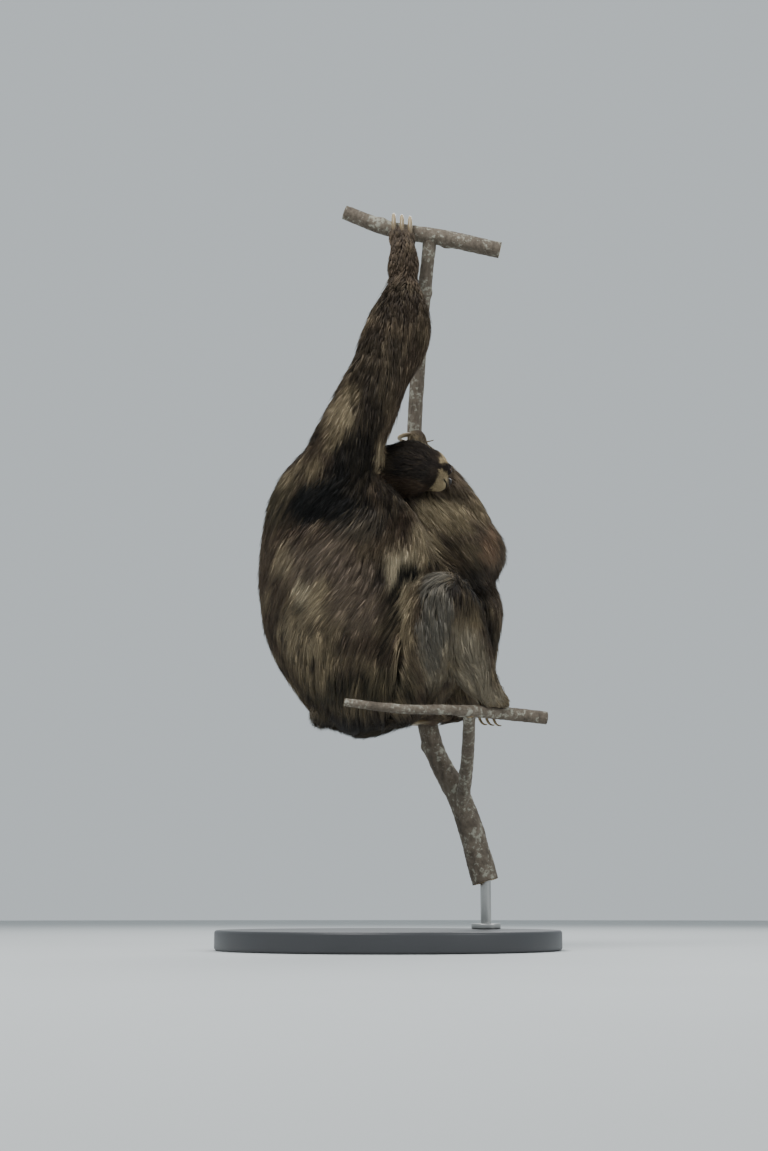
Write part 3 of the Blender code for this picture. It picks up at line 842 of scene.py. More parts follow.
def gather(lines, size, pull, seed):
    """Draws the locks of each small patch of coat to their mean, by the pull x the share of length to the 1.6."""
    spots = lines[:, 0]
    cell = np.floor((spots + 0.4 * size * cloud_vector(spots, 1.6 * size, seed)) / size).astype(np.int64)
    _, group = np.unique(cell @ np.array([1, 4096, 16777216]), return_inverse=True)
    count = np.bincount(group)
    mean = np.stack(
        [
            np.stack([np.bincount(group, lines[:, row, axis]) / count for axis in range(3)], axis=-1)
            for row in range(lines.shape[1])
        ],
        axis=1,
    )
    share = (pull[:, None] * LOCK_POINTS[None, :] ** 1.6)[..., None]
    return lines + share * (mean[group] - lines), group


def lock_mesh(name, lines, outward, widths, colours, map_spots):
    """Closed locks of three sides: rings that taper along a line of points, and a tip at its end.

    A ring's corners stand at -half a width, +half a width and a ridge between them. Each lock's faces lie
    in its own small square of the map, across by side and up by distance along the lock.
    """
    count, rows = len(lines), len(LOCK_POINTS) - 1
    tangent = unit(np.gradient(lines, axis=1))
    side = unit(np.cross(tangent, outward[:, None, :]))
    ridge = np.cross(side, tangent)
    taper = np.interp(LOCK_POINTS[:rows], (0, 0.3, 0.6, 0.85, 1), (0.75, 1.0, 0.84, 0.44, 0.1))
    width = (widths[:, None] * taper[None, :])[..., None]
    corners = [
        lines[:, :rows] + side[:, :rows] * (width * across) + ridge[:, :rows] * (width * lift)
        for across, lift in ((-0.5, -0.12), (0.5, -0.12), (0.0, 0.32))
    ]
    rings = np.stack(corners, axis=2).reshape(count, 3 * rows, 3)
    places = np.concatenate([rings, lines[:, rows:]], axis=1)
    each = 3 * rows + 1
    quads = [
        (3 * r + k, 3 * r + (k + 1) % 3, 3 * r + 3 + (k + 1) % 3, 3 * r + 3 + k)
        for r in range(rows - 1)
        for k in range(3)
    ]
    last = 3 * rows - 3
    tips = [(last + k, last + (k + 1) % 3, last + 3) for k in range(3)]
    pattern = np.array([corner for face in quads + tips for corner in face] + [2, 1, 0])
    sizes = np.array([4] * len(quads) + [3] * 4)
    start = np.arange(count)[:, None]
    corner_index = (pattern[None, :] + each * start).reshape(-1)
    face_start = (np.concatenate([[0], np.cumsum(sizes)[:-1]])[None, :] + len(pattern) * start).reshape(-1)
    mesh = bpy.data.meshes.new(name)
    mesh.vertices.add(count * each)
    mesh.vertices.foreach_set("co", places.astype(np.float32).reshape(-1))
    mesh.loops.add(len(corner_index))
    mesh.loops.foreach_set("vertex_index", corner_index.astype(np.int32))
    mesh.polygons.add(len(face_start))
    mesh.polygons.foreach_set("loop_start", face_start.astype(np.int32))
    mesh.update(calc_edges=True)
    mesh.polygons.foreach_set("use_smooth", np.ones(len(face_start), bool))
    level = 0.12 + 0.88 * LOCK_POINTS
    marks = []
    for low, high in zip(level[: rows - 1], level[1:rows]):
        for left, right in ((0, 1 / 3), (1 / 3, 2 / 3), (2 / 3, 1)):
            marks += [(left, low), (right, low), (right, high), (left, high)]
    for k in range(3):
        marks += [(k / 3, level[rows - 1]), ((k + 1) / 3, level[rows - 1]), ((k + 0.5) / 3, 1.0)]
    marks += [(0.9, 0.0), (0.5, 0.10), (0.1, 0.0)]
    marks = np.array(marks)
    spots = np.clip(map_spots, 0.002, 0.995)[:, None, :] + LOCK_SQUARE * (marks[None] - 0.5)
    unwrap = mesh.uv_layers.new(name="OFBake")
    unwrap.uv.foreach_set("vector", spots.astype(np.float32).reshape(-1))
    strand = mesh.uv_layers.new(name="Strand")
    shift = np.stack([np.arange(count) * 0.618 % 7, np.zeros(count)], axis=-1)
    strand.uv.foreach_set("vector", (marks[None] + shift[:, None, :]).astype(np.float32).reshape(-1))
    row = np.append(np.repeat(np.arange(rows), 3), rows)
    # Painted shade: each lock is darkened towards its root, where the locks over it shade it, and lightened towards
    # its tip
    shade = np.interp(LOCK_POINTS, (0, 0.3, 0.6, 1), (0.48, 0.82, 1.0, 1.22))[row]
    paint(mesh, (colours[:, row] * shade[None, :, None]).reshape(-1, 3))
    return mesh


def scatter(places, triangles, spacing, chance):
    """Random spots on the triangles, so many that each has about a square of its spacing, with their normals."""
    corners = places[triangles]
    cross = np.cross(corners[:, 1] - corners[:, 0], corners[:, 2] - corners[:, 0])
    area = np.linalg.norm(cross, axis=1) / 2
    wanted = area / spacing**2
    total = int(wanted.sum())
    edge = np.cumsum(wanted) / wanted.sum()
    draws = (np.arange(total) + chance.random(total)) / total
    pick = np.minimum(np.searchsorted(edge, draws), len(triangles) - 1)
    one, two = np.sqrt(chance.random(total)), chance.random(total)
    weight = np.stack([1 - one, one * (1 - two), one * two], axis=-1)
    spots = np.sum(corners[pick] * weight[..., None], axis=1)
    return spots, unit(cross[pick])


def map_places(spots, centre, axis):
    """Unwrap about an axis: the angle round it and the distance along it, spread over the map."""
    axis = unit(np.array(axis, float))
    one = unit(np.cross(axis, np.array((0.3, 1.0, 0.2))))
    two = np.cross(axis, one)
    offset = spots - centre
    angle = np.arctan2(offset @ two, offset @ one) / (2 * math.pi) + 0.5
    along = offset @ axis
    along = (along - along.min()) / np.ptp(along)
    return 0.004 + 0.992 * np.stack([angle, along], axis=-1)


def coat_roots(name, settings, chance):
    """Where a piece's locks stand: places, ways out, parts of the body, sides, rows like COAT's, shares of face."""
    parts, low, high = PIECES[name]
    places, triangles = mesh_arrays(skin_mesh())
    places = places.astype(np.float64)
    middle = places[triangles].mean(axis=1)
    names = np.array([owner_part(node) for node in body()["names"]])[owner_at(middle)]
    mine = np.isin(names, parts) & (middle[:, 2] >= low) & (middle[:, 2] < high)
    triangles, middle, names = pick(mine, triangles, middle, names)
    kinds = np.array([kind_of(node) for node in names])
    table = np.array([COAT[kind] for kind in kinds])
    face = (smooth(0.010, 0.024, in_head(middle)[:, 0]) * (kinds == "head"))[:, None]
    table = table * (1 - face) + np.array(FACE) * face
    spots, outward = scatter(places, triangles, table[:, 2] * settings.spacing, chance)
    found = (spots, outward, *pick(nearest_rows(spots, middle), kinds, names, table, face[:, 0]))
    found = pick(coat_free(spots), *found)
    most = min(MOST_LOCKS.get(name, 20000), MOST_TRIANGLES // (6 * (len(LOCK_POINTS) - 2) + 4))
    if len(found[0]) > most:
        found = pick(np.sort(chance.permutation(len(found[0]))[:most]), *found)
    spots, outward, kinds, names, table, face = found
    sides = np.array([node.rsplit("_", 1)[-1] for node in names])
    return spots, outward, kinds, sides, table, face


def lock_colours(lines, roots, face, on_head, wisp, group, chance):
    """Colour of each point of each lock: the markings there, lighter or darker by wisp, by group and by lock.

    One lock in ten and the crests of the wisps are frosted with straw, the more the paler the coat is.
    """
    count = len(lines)
    tone = 1 + 0.20 * (chance.random(count) - 0.5)
    tone += 0.20 * (chance.random(group.max() + 1)[group] - 0.5) + 0.34 * wisp
    jitter = 0.0018 * chance.standard_normal((count, 3))
    seen = 0.55 * lines + 0.45 * lines[:, 1:2] + jitter[:, None]
    seen = np.where(face[:, None, None] > 0.5, roots[:, None], seen)
    colours = markings(seen.reshape(-1, 3), np.repeat(on_head, len(LOCK_POINTS))).reshape(count, -1, 3)
    colours = colours * tone[:, None, None]
    bright = np.clip(colours.mean(axis=(1, 2)) / 0.03, 0, 1)
    frosted = (chance.random(count) < FROST_SHARE) & (face < 0.5)
    frost = (bright * (0.30 * frosted + 0.20 * smooth(0.3, 1.0, wisp)))[:, None, None]
    return colours * (1 - frost) + PALETTE["straw"] * frost


def coat_piece(name, settings):
    """One piece of the coat: locks rooted on the skin of some parts of the body.

    A lock's length and rise are its row's, more or less by chance and by wisp, and less in folds. A lock whose line
    is broken or stretched, or whose tip would fall on the face from another part, is left out.
    """
    outline = body()["outline"]
    chance = np.random.default_rng(settings.seed + sum(map(ord, name)))
    spots, outward, kinds, sides, table, face = coat_roots(name, settings, chance)
    on_head = kinds == "head"
    count = len(spots)
    flow, whorl = lie(spots, outward, kinds, sides)
    wisp = wisps(spots, flow) * (1 - face) * np.where(on_head, 0.5, 1)
    lengths = table[:, 1] * settings.length * (0.70 + 0.6 * chance.random(count))
    lengths = lengths * (1 + 0.12 * wisp) * (1 - 0.35 * whorl)
    lengths *= 1 - 0.60 * smooth(0.046, 0.055, in_head(spots)[:, 0]) * on_head
    depth = np.maximum(-outline.at(spots), 0.0015)
    stray = (chance.random(count) < STRAY_SHARE) & (face < 0.5) & ~np.isin(kinds, ("hand", "foot"))
    fold = np.exp(-np.square(from_folds(spots) / 0.016))
    lengths *= 1 - 0.35 * fold
    rise = np.minimum(table[:, 0] * 1.15, depth) * (0.55 + 0.50 * chance.random(count) + 0.18 * wisp)
    rise = rise * (1 - 0.8 * fold) + 0.0006 + 0.004 * stray
    rise = np.where(face > 0.5, lengths * (0.16 + 0.14 * chance.random(count)), rise)
    hang = np.where(on_head, 0.05, 0.14)
    spare = 0.0015 + 0.0035 * stray - 0.007 * smooth(0.365, 0.325, spots[:, 2])
    lines = comb(spots, outward, flow, lengths, rise, hang, spare)
    steps = np.diff(lines, axis=1)
    reach = np.linalg.norm(steps, axis=2).sum(axis=1)
    level = np.sum(unit(steps[:, 1:]) * unit(steps[:, :-1]), axis=2).min(axis=1)
    tips = in_head(lines[:, -1])
    on_face = (np.linalg.norm(tips / (0.061, 0.048, 0.046), axis=1) < 1) & (tips[:, 0] > 0.0) & ~on_head
    good = (level > 0.45) & (reach < 1.5 * lengths + 0.003) & ~on_face
    chord = lines[:, :1] + (lines[:, -1:] - lines[:, :1]) * LOCK_POINTS[None, :, None]
    lines += (chord - lines) * (0.6 * smooth(0.93, 0.6, level))[:, None, None]
    lines, outward, spots, table, face, on_head, wisp = pick(good, lines, outward, spots, table, face, on_head, wisp)
    pull = np.where(face > 0.5, 0.10, 0.50) * settings.gather
    lines, group = gather(lines, HEAD_PATCH if name == "coat_head" else PATCH, pull, settings.seed)
    widths = table[:, 3] * settings.width * (0.60 + 0.75 * chance.random(len(spots)))
    colours = lock_colours(lines, spots, face, on_head, wisp, group, chance)
    axis = (0, 0, 1)
    if len(PIECES[name][0]) > 2 or name == "coat_head":
        axis = np.ptp(spots, axis=0) == np.ptp(spots, axis=0).max()
    return lock_mesh(name, lines, outward, widths, colours, map_places(spots, spots.mean(axis=0), axis))


def wisps(roots, flow):
    """From -1 to 1, changing across the lie of the coat but hardly along it: a cloud's mean along the lie."""
    steps = np.linspace(-0.020, 0.020, 7)
    total = sum(cloud(roots + flow * step, 0.0052, 17) for step in steps)
    return np.clip(total / (2 * total.std()), -1, 1)


def from_folds(places):
    """Distance to the nearest fold."""
    gaps = []
    for start, end in np.array(FOLDS):
        way = end - start
        share = np.clip((places - start) @ way / (way @ way), 0, 1)
        gaps.append(np.linalg.norm(places - start - share[:, None] * way, axis=1))
    return np.min(gaps, axis=0)


def owner_part(node):
    """The flesh node that an eye, the nose or a claw sits in, and any other node itself."""
    if node.startswith(("eye", "nose")):
        return "head"
    return "_".join(node.split("_")[1:3]) if node.startswith("claw") else node


def nearest_rows(spots, middles):
    """Row of a nearby middle for each spot, from a hash of small cells, then of larger ones."""
    found = np.full(len(spots), -1)
    for size in (0.003, 0.006, 0.012, 0.05):
        keys = np.floor(middles / size).astype(np.int64) @ np.array([1, 65536, 4294967296])
        wanted = np.floor(spots / size).astype(np.int64) @ np.array([1, 65536, 4294967296])
        order = np.argsort(keys)
        place = np.minimum(np.searchsorted(keys[order], wanted), len(keys) - 1)
        hit = (keys[order][place] == wanted) & (found < 0)
        found[hit] = order[place][hit]
    return np.maximum(found, 0)


def coat_free(spots):
    """True where a lock may grow: off the eyes, the nose and the lips."""
    keep = np.ones(len(spots), bool)
    for middle, _, along, rise in eye_frames():
        offset = spots - middle
        inside = np.hypot((offset @ along) / 0.0056, (offset @ rise) / 0.0048) <= 1
        keep &= ~(inside & (np.linalg.norm(offset, axis=1) <= 0.012))
    ahead, aside, up = in_head(spots).T
    keep &= ~((ahead > 0.040) & (np.hypot(aside / 0.0092, (up + 0.0072) / 0.0064) < 1))
    over_mouth = up - mouth_height(aside)
    keep &= ~((ahead > 0.028) & (over_mouth > -0.0007) & (over_mouth < 0.0026) & (np.abs(aside) < 0.0175))
    return keep


class Value:
    """A number on a node's socket. Arithmetic on it adds Math nodes."""

    def __init__(self, finish, socket):
        self.finish, self.socket = finish, socket

    def math(self, operation, *others):
        return self.finish.node("ShaderNodeMath", {"operation": operation}, *others)["Value"]

    def __add__(self, other):
        return self.math("ADD", self, other)

    def __mul__(self, other):
        return self.math("MULTIPLY", self, other)

    def __rsub__(self, other):
        return self.math("SUBTRACT", other, self)

    def step(self, low, high):
        """0 below low, 1 above high, smooth between."""
        settings = {"interpolation_type": "SMOOTHSTEP"}
        return self.finish.node("ShaderNodeMapRange", settings, self, low, high, 0.0, 1.0)["Result"]


class Outputs:
    """A node whose outputs are read by name as Values."""

    def __init__(self, finish, node):
        self.finish, self.made = finish, node

    def __getitem__(self, name):
        found = [s for s in self.made.outputs if s.name == name and s.enabled]
        return Value(self.finish, found[0])


class Finish:
    """A material being made: one Principled shader and the nodes behind it."""

    def __init__(self, name):
        self.material = bpy.data.materials.new(name)
        self.material.use_nodes = True
        self.tree = self.material.node_tree
        self.tree.nodes.clear()
        self.shader = self.tree.nodes.new("ShaderNodeBsdfPrincipled")
        output = self.tree.nodes.new("ShaderNodeOutputMaterial")
        self.tree.links.new(self.shader.outputs["BSDF"], output.inputs["Surface"])

    def put(self, socket, value):
        if isinstance(value, Value):
            self.tree.links.new(value.socket, socket)
        elif value is not None:
            size = len(socket.default_value) if hasattr(socket.default_value, "__len__") else 0
            value = (*value, 1.0) if size == 4 and len(value) == 3 else value
            socket.default_value = value

    def node(self, kind, settings=None, *values, **named):
        """A node of a kind: its settings, the values of its enabled sockets in order, then those given by name."""
        made = self.tree.nodes.new(kind)
        for key, setting in (settings or {}).items():
            if key == "stops":
                stops = made.color_ramp.elements
                while len(stops) > 1:
                    stops.remove(stops[-1])
                for place, colour in setting:
                    stop = stops[0] if place == setting[0][0] else stops.new(place)
                    stop.position, stop.color = place, (*colour, 1.0)
            else:
                setattr(made, key, setting)
        enabled = [socket for socket in made.inputs if socket.enabled]
        for socket, value in zip(enabled, values):
            self.put(socket, value)
        for key, value in named.items():
            self.put(next(s for s in enabled if s.name.replace(" ", "_") == key), value)
        return Outputs(self, made)

    def noise(self, scale, detail=3.0, rough=0.5, vector=None):
        vector = vector or self.place()
        made = self.node("ShaderNodeTexNoise", None, Vector=vector, Scale=scale, Detail=detail, Roughness=rough)
        return made["Fac"]

    def place(self):
        return self.node("ShaderNodeTexCoord")["Object"]

    def stretched(self, vector, scale, turn=(0, 0, 0)):
        return self.node("ShaderNodeMapping", None, Vector=vector, Scale=scale, Rotation=turn)["Vector"]

    def mix(self, share, one, two, blend="MIX"):
        settings = {"data_type": "RGBA", "blend_type": blend}
        return self.node("ShaderNodeMix", settings, Factor=share, A=one, B=two)["Result"]

    def ramp(self, value, stops):
        return self.node("ShaderNodeValToRGB", {"stops": stops}, value)["Color"]

    def marks(self):
        return self.node("ShaderNodeAttribute", {"attribute_name": "Markings"})["Color"]

    def shaded(self, shade):
        """The colour of the markings and their painted shade, darkened or lightened by a shade."""
        grey = self.node("ShaderNodeCombineColor", None, shade, shade, shade)["Color"]
        return self.mix(1.0, self.marks(), grey, "MULTIPLY")

    def unwrap(self, name):
        return self.node("ShaderNodeUVMap", {"uv_map": name})["UV"]

    def bump(self, height, distance, strength=1.0):
        return self.node("ShaderNodeBump", None, Height=height, Distance=distance, Strength=strength)["Normal"]

    def finish(self, **sockets):
        """Sets the shader's sockets, an underscore standing for a space, and returns the material."""
        for key, value in sockets.items():
            self.put(self.shader.inputs[key.replace("_", " ")], value)
        return self.material


def coat_finish():
    """Hair: the marked colour with its painted shade, darker at the roots, and fine streaks along each lock."""
    hair = Finish("coat")
    streak = hair.noise(1.0, 3.0, 0.6, hair.stretched(hair.unwrap("Strand"), (12.0, 1.4, 1.0)))
    colour = hair.shaded(streak.step(0.36, 0.64) * 0.80 + 0.58)
    bump = hair.bump(streak, 0.0006, 0.5)
    return hair.finish(Base_Color=colour, Roughness=0.62, Normal=bump, Specular_IOR_Level=0.20, Sheen_Weight=0.05)


def skin_finish():
    """Skin under the coat: the marked colour as short down, with a fine grain."""
    skin = Finish("skin")
    grain = skin.noise(1400.0, 4.0, 0.65)
    lumps = skin.noise(260.0, 2.0, 0.5)
    colour = skin.shaded(grain.step(0.30, 0.70) * 0.45 + lumps * 0.35 + 0.55)
    bump = skin.bump(grain, 0.0005, 0.6)
    return skin.finish(Base_Color=colour, Roughness=0.75, Normal=bump, Specular_IOR_Level=0.25)


def nose_finish():
    """Moist black leather with small pebbles."""
    leather = Finish("nose")
    pebbles = leather.node("ShaderNodeTexVoronoi", None, Vector=leather.place(), Scale=1500.0)["Distance"]
    colour = leather.mix(pebbles, chip(18, 15, 15), chip(48, 42, 40))
    bump = leather.bump(pebbles, 0.0003, 0.7)
    return leather.finish(Base_Color=colour, Roughness=pebbles * 0.25 + 0.28, Normal=bump)


def eye_finish():
    """A brown eye under a wet clear coat: black pupil, fibred iris and dark rim, by distance from its pole."""
    eye = Finish("eye")
    around = eye.unwrap("Along")
    back = eye.node("ShaderNodeSeparateXYZ", None, around)["Y"]
    fibre = eye.noise(1.0, 3.0, 0.6, eye.stretched(around, (26.0, 3.0, 1.0)))
    iris = eye.mix(fibre.step(0.3, 0.7), chip(52, 31, 18), chip(98, 62, 36))
    colour = eye.mix(back.step(0.70, 0.76), chip(20, 14, 11), iris)
    colour = eye.mix(back.step(0.855, 0.875), colour, chip(4, 4, 4))
    wet = {"Coat_Weight": 0.30, "Coat_Roughness": 0.03}
    return eye.finish(Base_Color=colour, Roughness=0.10, Specular_IOR_Level=0.30, **wet)


def claw_finish():
    """Horn: buff with darker roots, grooves along the claw and scuffs."""
    horn = Finish("claw")
    groove = horn.noise(1.0, 4.0, 0.6, horn.stretched(horn.unwrap("Along"), (22.0, 2.5, 1.0)))
    scuff = horn.noise(700.0, 4.0, 0.6)
    colour = horn.shaded(groove.step(0.3, 0.7) * 0.35 + scuff * 0.3 + 0.62)
    bump = horn.bump(groove, 0.0004, 0.6)
    return horn.finish(Base_Color=colour, Roughness=scuff * 0.3 + 0.26, Normal=bump, Coat_Weight=0.15)


def bark_finish():
    """Grey-brown bark with pale lichen, fine cracks along the wood and darker lows."""
    bark = Finish("bark")
    place = bark.place()
    cracks = bark.noise(1.0, 5.0, 0.62, bark.stretched(bark.unwrap("Along"), (14.0, 60.0, 1.0)))
    broad = bark.noise(38.0, 4.0, 0.6, place)
    fine = bark.noise(520.0, 4.0, 0.65, place)
    lichen = (bark.noise(150.0, 5.0, 0.66, place) + broad * 0.5).step(0.78, 0.90) * 0.75
    browns = [(0.28, chip(50, 43, 36)), (0.48, chip(98, 88, 76)), (0.72, chip(134, 124, 110))]
    wood = bark.ramp(cracks * 0.55 + broad * 0.45, browns)
    colour = bark.mix(lichen, wood, bark.mix(fine, chip(142, 142, 126), chip(184, 182, 168)))
    colour = bark.mix(bark.marks(), colour, chip(186, 158, 116))
    height = cracks * 0.6 + fine * 0.25 + lichen * 0.25
    return bark.finish(Base_Color=colour, Roughness=0.86 - lichen * 0.06, Normal=bark.bump(height, 0.0014, 0.8))


def paint_finish():
    """Satin dark grey paint on the base with a faint orange peel."""
    satin = Finish("stand_paint")
    peel = satin.noise(420.0, 3.0, 0.5)
    cloudy = satin.noise(6.0, 3.0, 0.5)
    colour = satin.mix(cloudy, chip(52, 53, 55), chip(66, 67, 70))
    return satin.finish(Base_Color=colour, Roughness=cloudy * 0.10 + 0.36, Normal=satin.bump(peel, 0.0002, 0.25))


def steel_finish():
    """Brushed steel, its scratches running round the rod."""
    steel = Finish("stand_steel")
    brushed = steel.noise(1.0, 3.0, 0.6, steel.stretched(steel.place(), (30.0, 30.0, 1800.0)))
    bump = steel.bump(brushed, 0.0001, 0.4)
    return steel.finish(Base_Color=chip(178, 178, 176), Metallic=1.0, Roughness=brushed * 0.22 + 0.22, Normal=bump)


def grid_faces(rows, columns):
    """Four-cornered faces of a grid whose columns close on themselves."""
    row, column = np.meshgrid(np.arange(rows - 1), np.arange(columns), indexing="ij")
    after = (column + 1) % columns
    below, over = row * columns, (row + 1) * columns
    return np.stack([below + column, below + after, over + after, over + column], axis=-1).reshape(-1, 4)


def tube_mesh(name, rings):
    """A closed skin over rings of corners (rows, columns, 3), with a fan of faces at each end, and a map Along."""
    rows, columns = rings.shape[:2]
    places = np.concatenate([rings.reshape(-1, 3), [rings[0].mean(axis=0), rings[-1].mean(axis=0)]])
    faces = grid_faces(rows, columns)
    shape = bmesh.new()
    mesh = bpy.data.meshes.new(name)
    ends = np.arange(columns)
    after = (ends + 1) % columns
    last = (rows - 1) * columns
    start = np.stack([after, ends, np.full(columns, rows * columns)], axis=-1)
    stop = np.stack([last + ends, last + after, np.full(columns, rows * columns + 1)], axis=-1)
    mesh.from_pydata(places.tolist(), [], faces.tolist() + start.tolist() + stop.tolist())
    column = np.tile(np.arange(columns), rows - 1)
    row = np.repeat(np.arange(rows - 1), columns)
    corner = np.stack([column, column + 1, column + 1, column], axis=-1) / columns
    level = np.stack([row, row, row + 1, row + 1], axis=-1) / rows
    quads = np.stack([corner, level], axis=-1).reshape(-1, 2)
    ends_map = np.tile(np.array([(0.1, 0.0), (0.0, 0.0), (0.05, 0.02)]), (2 * columns, 1))
    layer = mesh.uv_layers.new(name="Along")
    layer.uv.foreach_set("vector", np.concatenate([quads, ends_map]).astype(np.float32).reshape(-1))
    shape.from_mesh(mesh)
    bmesh.ops.recalc_face_normals(shape, faces=shape.faces)
    shape.to_mesh(mesh)
    shape.free()
    mesh.polygons.foreach_set("use_smooth", np.ones(len(mesh.polygons), bool))
    return mesh


def curve_rows(points, count):
    """Places, evenly spread, on the smooth line through points, a cubic in each span whose slope at each point is
    half the way from the point before to the point after, with any further numbers carried along."""
    points = np.array(points, float)
    ends = np.vstack([2 * points[0] - points[1], points, 2 * points[-1] - points[-2]])
    t = np.linspace(0, len(points) - 1, count)
    span = np.minimum(t.astype(int), len(points) - 2)
    u = (t - span)[:, None]
    a, b, c, d = (ends[span + k] for k in range(4))
    return 0.5 * (2 * b + (c - a) * u + (2 * a - 5 * b + 4 * c - d) * u**2 + (3 * b - a - 3 * c + d) * u**3)


def frames_along(line):
    """The way on, and two ways across, at each place of a line; the ways across turn as little as they can."""
    ahead = unit(np.gradient(line, axis=0))
    fixed = np.array((0.0, 1.0, 0.0)) if np.abs(ahead[:, 1]).mean() < 0.6 else np.array((1.0, 0.0, 0.0))
    one = unit(np.cross(ahead, fixed))
    return ahead, one, np.cross(ahead, one)


def wood_piece(name, settings):
    """A length of branch: rings along its line whose radius swells with ridges, warts and a few knots.

    Radius = line's radius x (1 + broad cloud + fine cloud stretched along the wood + knots). The clouds stay within
    a tenth of the solid's radius. The ends are sawn flat, with a ring of bark round the pale wood.
    """
    line = WOOD[name]
    length = sum(math.dist(a[:3], b[:3]) for a, b in zip(line, line[1:]))
    rows = max(int(length / BARK_STEP), 40)
    columns = BARK_SIDES
    path = curve_rows(line, rows)
    _, one, two = frames_along(path[:, :3])
    angle = np.linspace(0, 2 * math.pi, columns, endpoint=False)
    out = one[:, None] * np.cos(angle)[None, :, None] + two[:, None] * np.sin(angle)[None, :, None]
    base = path[:, None, :3] + out * path[:, 3][:, None, None]
    swell = 0.045 * cloud(base, 0.030, 3) + 0.040 * cloud(base * (1, 1, 0.35), 0.0045, 4)
    swell += 0.020 * cloud(base, 0.0025, 6)
    knots = np.zeros(swell.shape)
    for n in range(int(length / KNOT_STEP)):
        spot = base[int((n + 0.6) * rows * KNOT_STEP / max(length, KNOT_STEP)) % rows, (n * 17 + 5) % columns]
        knots += 0.22 * np.exp(-((np.linalg.norm(base - spot, axis=-1) / 0.0075) ** 2))
    radius = path[:, 3][:, None] * (1.0 + settings.roughness * (swell + knots))
    rings = path[:, None, :3] + out * radius[..., None]
    middles = rings.mean(axis=1, keepdims=True)
    shares = np.array((0.90, 0.60, 0.30))[:, None, None]
    caps = [middles[end] + (rings[end] - middles[end]) * shares for end in (0, -1)]
    rings = np.concatenate([caps[0][::-1], rings, caps[1]])
    mesh = tube_mesh("bark_" + name, rings)
    sawn = np.zeros(len(mesh.vertices))
    sawn[: 3 * columns] = 1
    sawn[(len(rings) - 3) * columns :] = 1
    paint(mesh, np.repeat(sawn[:, None], 3, axis=1))
    return mesh


def claw_path(name, shares):
    """Places along a claw's middle line, and the ways out from the wood, at shares of its sweep.

    The reach from the wood's middle goes from the root's to the tip's with the square of the way along.
    """
    _, limb, side, number = name.split("_")
    wood, place, root_reach, tip_reach, first, sweep = GRIPS[f"{limb}_{side}"]
    axis = 2 if wood == "stem" else 0
    path = curve_rows(WOOD[wood], 200)[:, :3]
    order = np.argsort(path[:, axis])
    centre = np.array([np.interp(place, path[order, axis], path[order, k]) for k in range(3)])
    near = int(np.argmin(np.abs(path[:, axis] - place)))
    direction = unit(path[near + 1] - path[near - 1])
    centre = centre + direction * CLAW_SPACING * (int(number) - 2)
    if wood == "stem":
        one, two = np.array((1.0, 0, 0)), np.array((0, 1.0, 0))
    else:
        one, two = unit(np.array((direction[1], -direction[0], 0.0))), np.array((0, 0, 1.0))
    angle = np.radians(first + sweep * shares)
    out = one * np.cos(angle)[:, None] + two * np.sin(angle)[:, None]
    return centre + out * (root_reach + (tip_reach - root_reach) * shares**2)[:, None], out


def claw_mesh(name):
    """A claw: an oval section carried along its path, tapering to a point.

    The section shrinks with the way along to the power 1.6; its outer half is deeper than its flatter inner half.
    """
    t = np.linspace(0, 1, 46)
    line, out = claw_path(name, t)
    size = 1 - (1 - CLAW_TIP) * t**1.6
    end = np.linspace(0, 1, 9)[1:] ** 0.8
    tip_line = line[-1] + unit(line[-1] - line[-2]) * (end * CLAW_HALF[1] * CLAW_TIP * 3.2)[:, None]
    line = np.vstack([line, tip_line])
    size = np.concatenate([size, CLAW_TIP * np.sqrt(np.maximum(1 - end**2, 0.01))])
    out = np.vstack([out, np.repeat(out[-1:], len(end), axis=0)])
    ahead = unit(np.gradient(line, axis=0))
    width = unit(np.cross(ahead, out))
    outer = np.cross(width, ahead)
    outer *= np.sign(np.sum(outer * out, axis=1))[:, None]
    turn = np.linspace(0, 2 * math.pi, CLAW_SIDES, endpoint=False)
    x = np.cos(turn) * CLAW_HALF[0]
    y = np.sin(turn) * CLAW_HALF[1] * np.where(np.sin(turn) > 0, 1.0, 0.72)
    section = width[:, None] * x[None, :, None] + outer[:, None] * y[None, :, None]
    rings = line[:, None] + section * size[:, None, None]
    mesh = tube_mesh(name.replace("claw", "horn"), rings)
    share = np.concatenate([np.repeat(np.linspace(0, 1, len(line)), CLAW_SIDES), [0, 1]])[:, None]
    middle = smooth(0.0, 0.35, share)
    colours = chip(84, 70, 54) * (1 - middle) + chip(168, 148, 112) * middle
    colours = colours * (1 - smooth(0.6, 1.0, share)) + chip(128, 108, 80) * smooth(0.6, 1.0, share)
    paint(mesh, colours)
    return mesh


def ball_grid(half, rows=40, columns=56):
    """Corners of an oval ball about the origin, by latitude and longitude, poles on the first axis."""
    latitude = np.linspace(0.02, math.pi - 0.02, rows)
    longitude = np.linspace(0, 2 * math.pi, columns, endpoint=False)
    ring = np.sin(latitude)[:, None]
    return np.stack(
        [
            -half[0] * np.cos(latitude)[:, None] * np.ones(columns),
            half[1] * ring * np.cos(longitude),
            half[2] * ring * np.sin(longitude),
        ],
        axis=-1,
    )


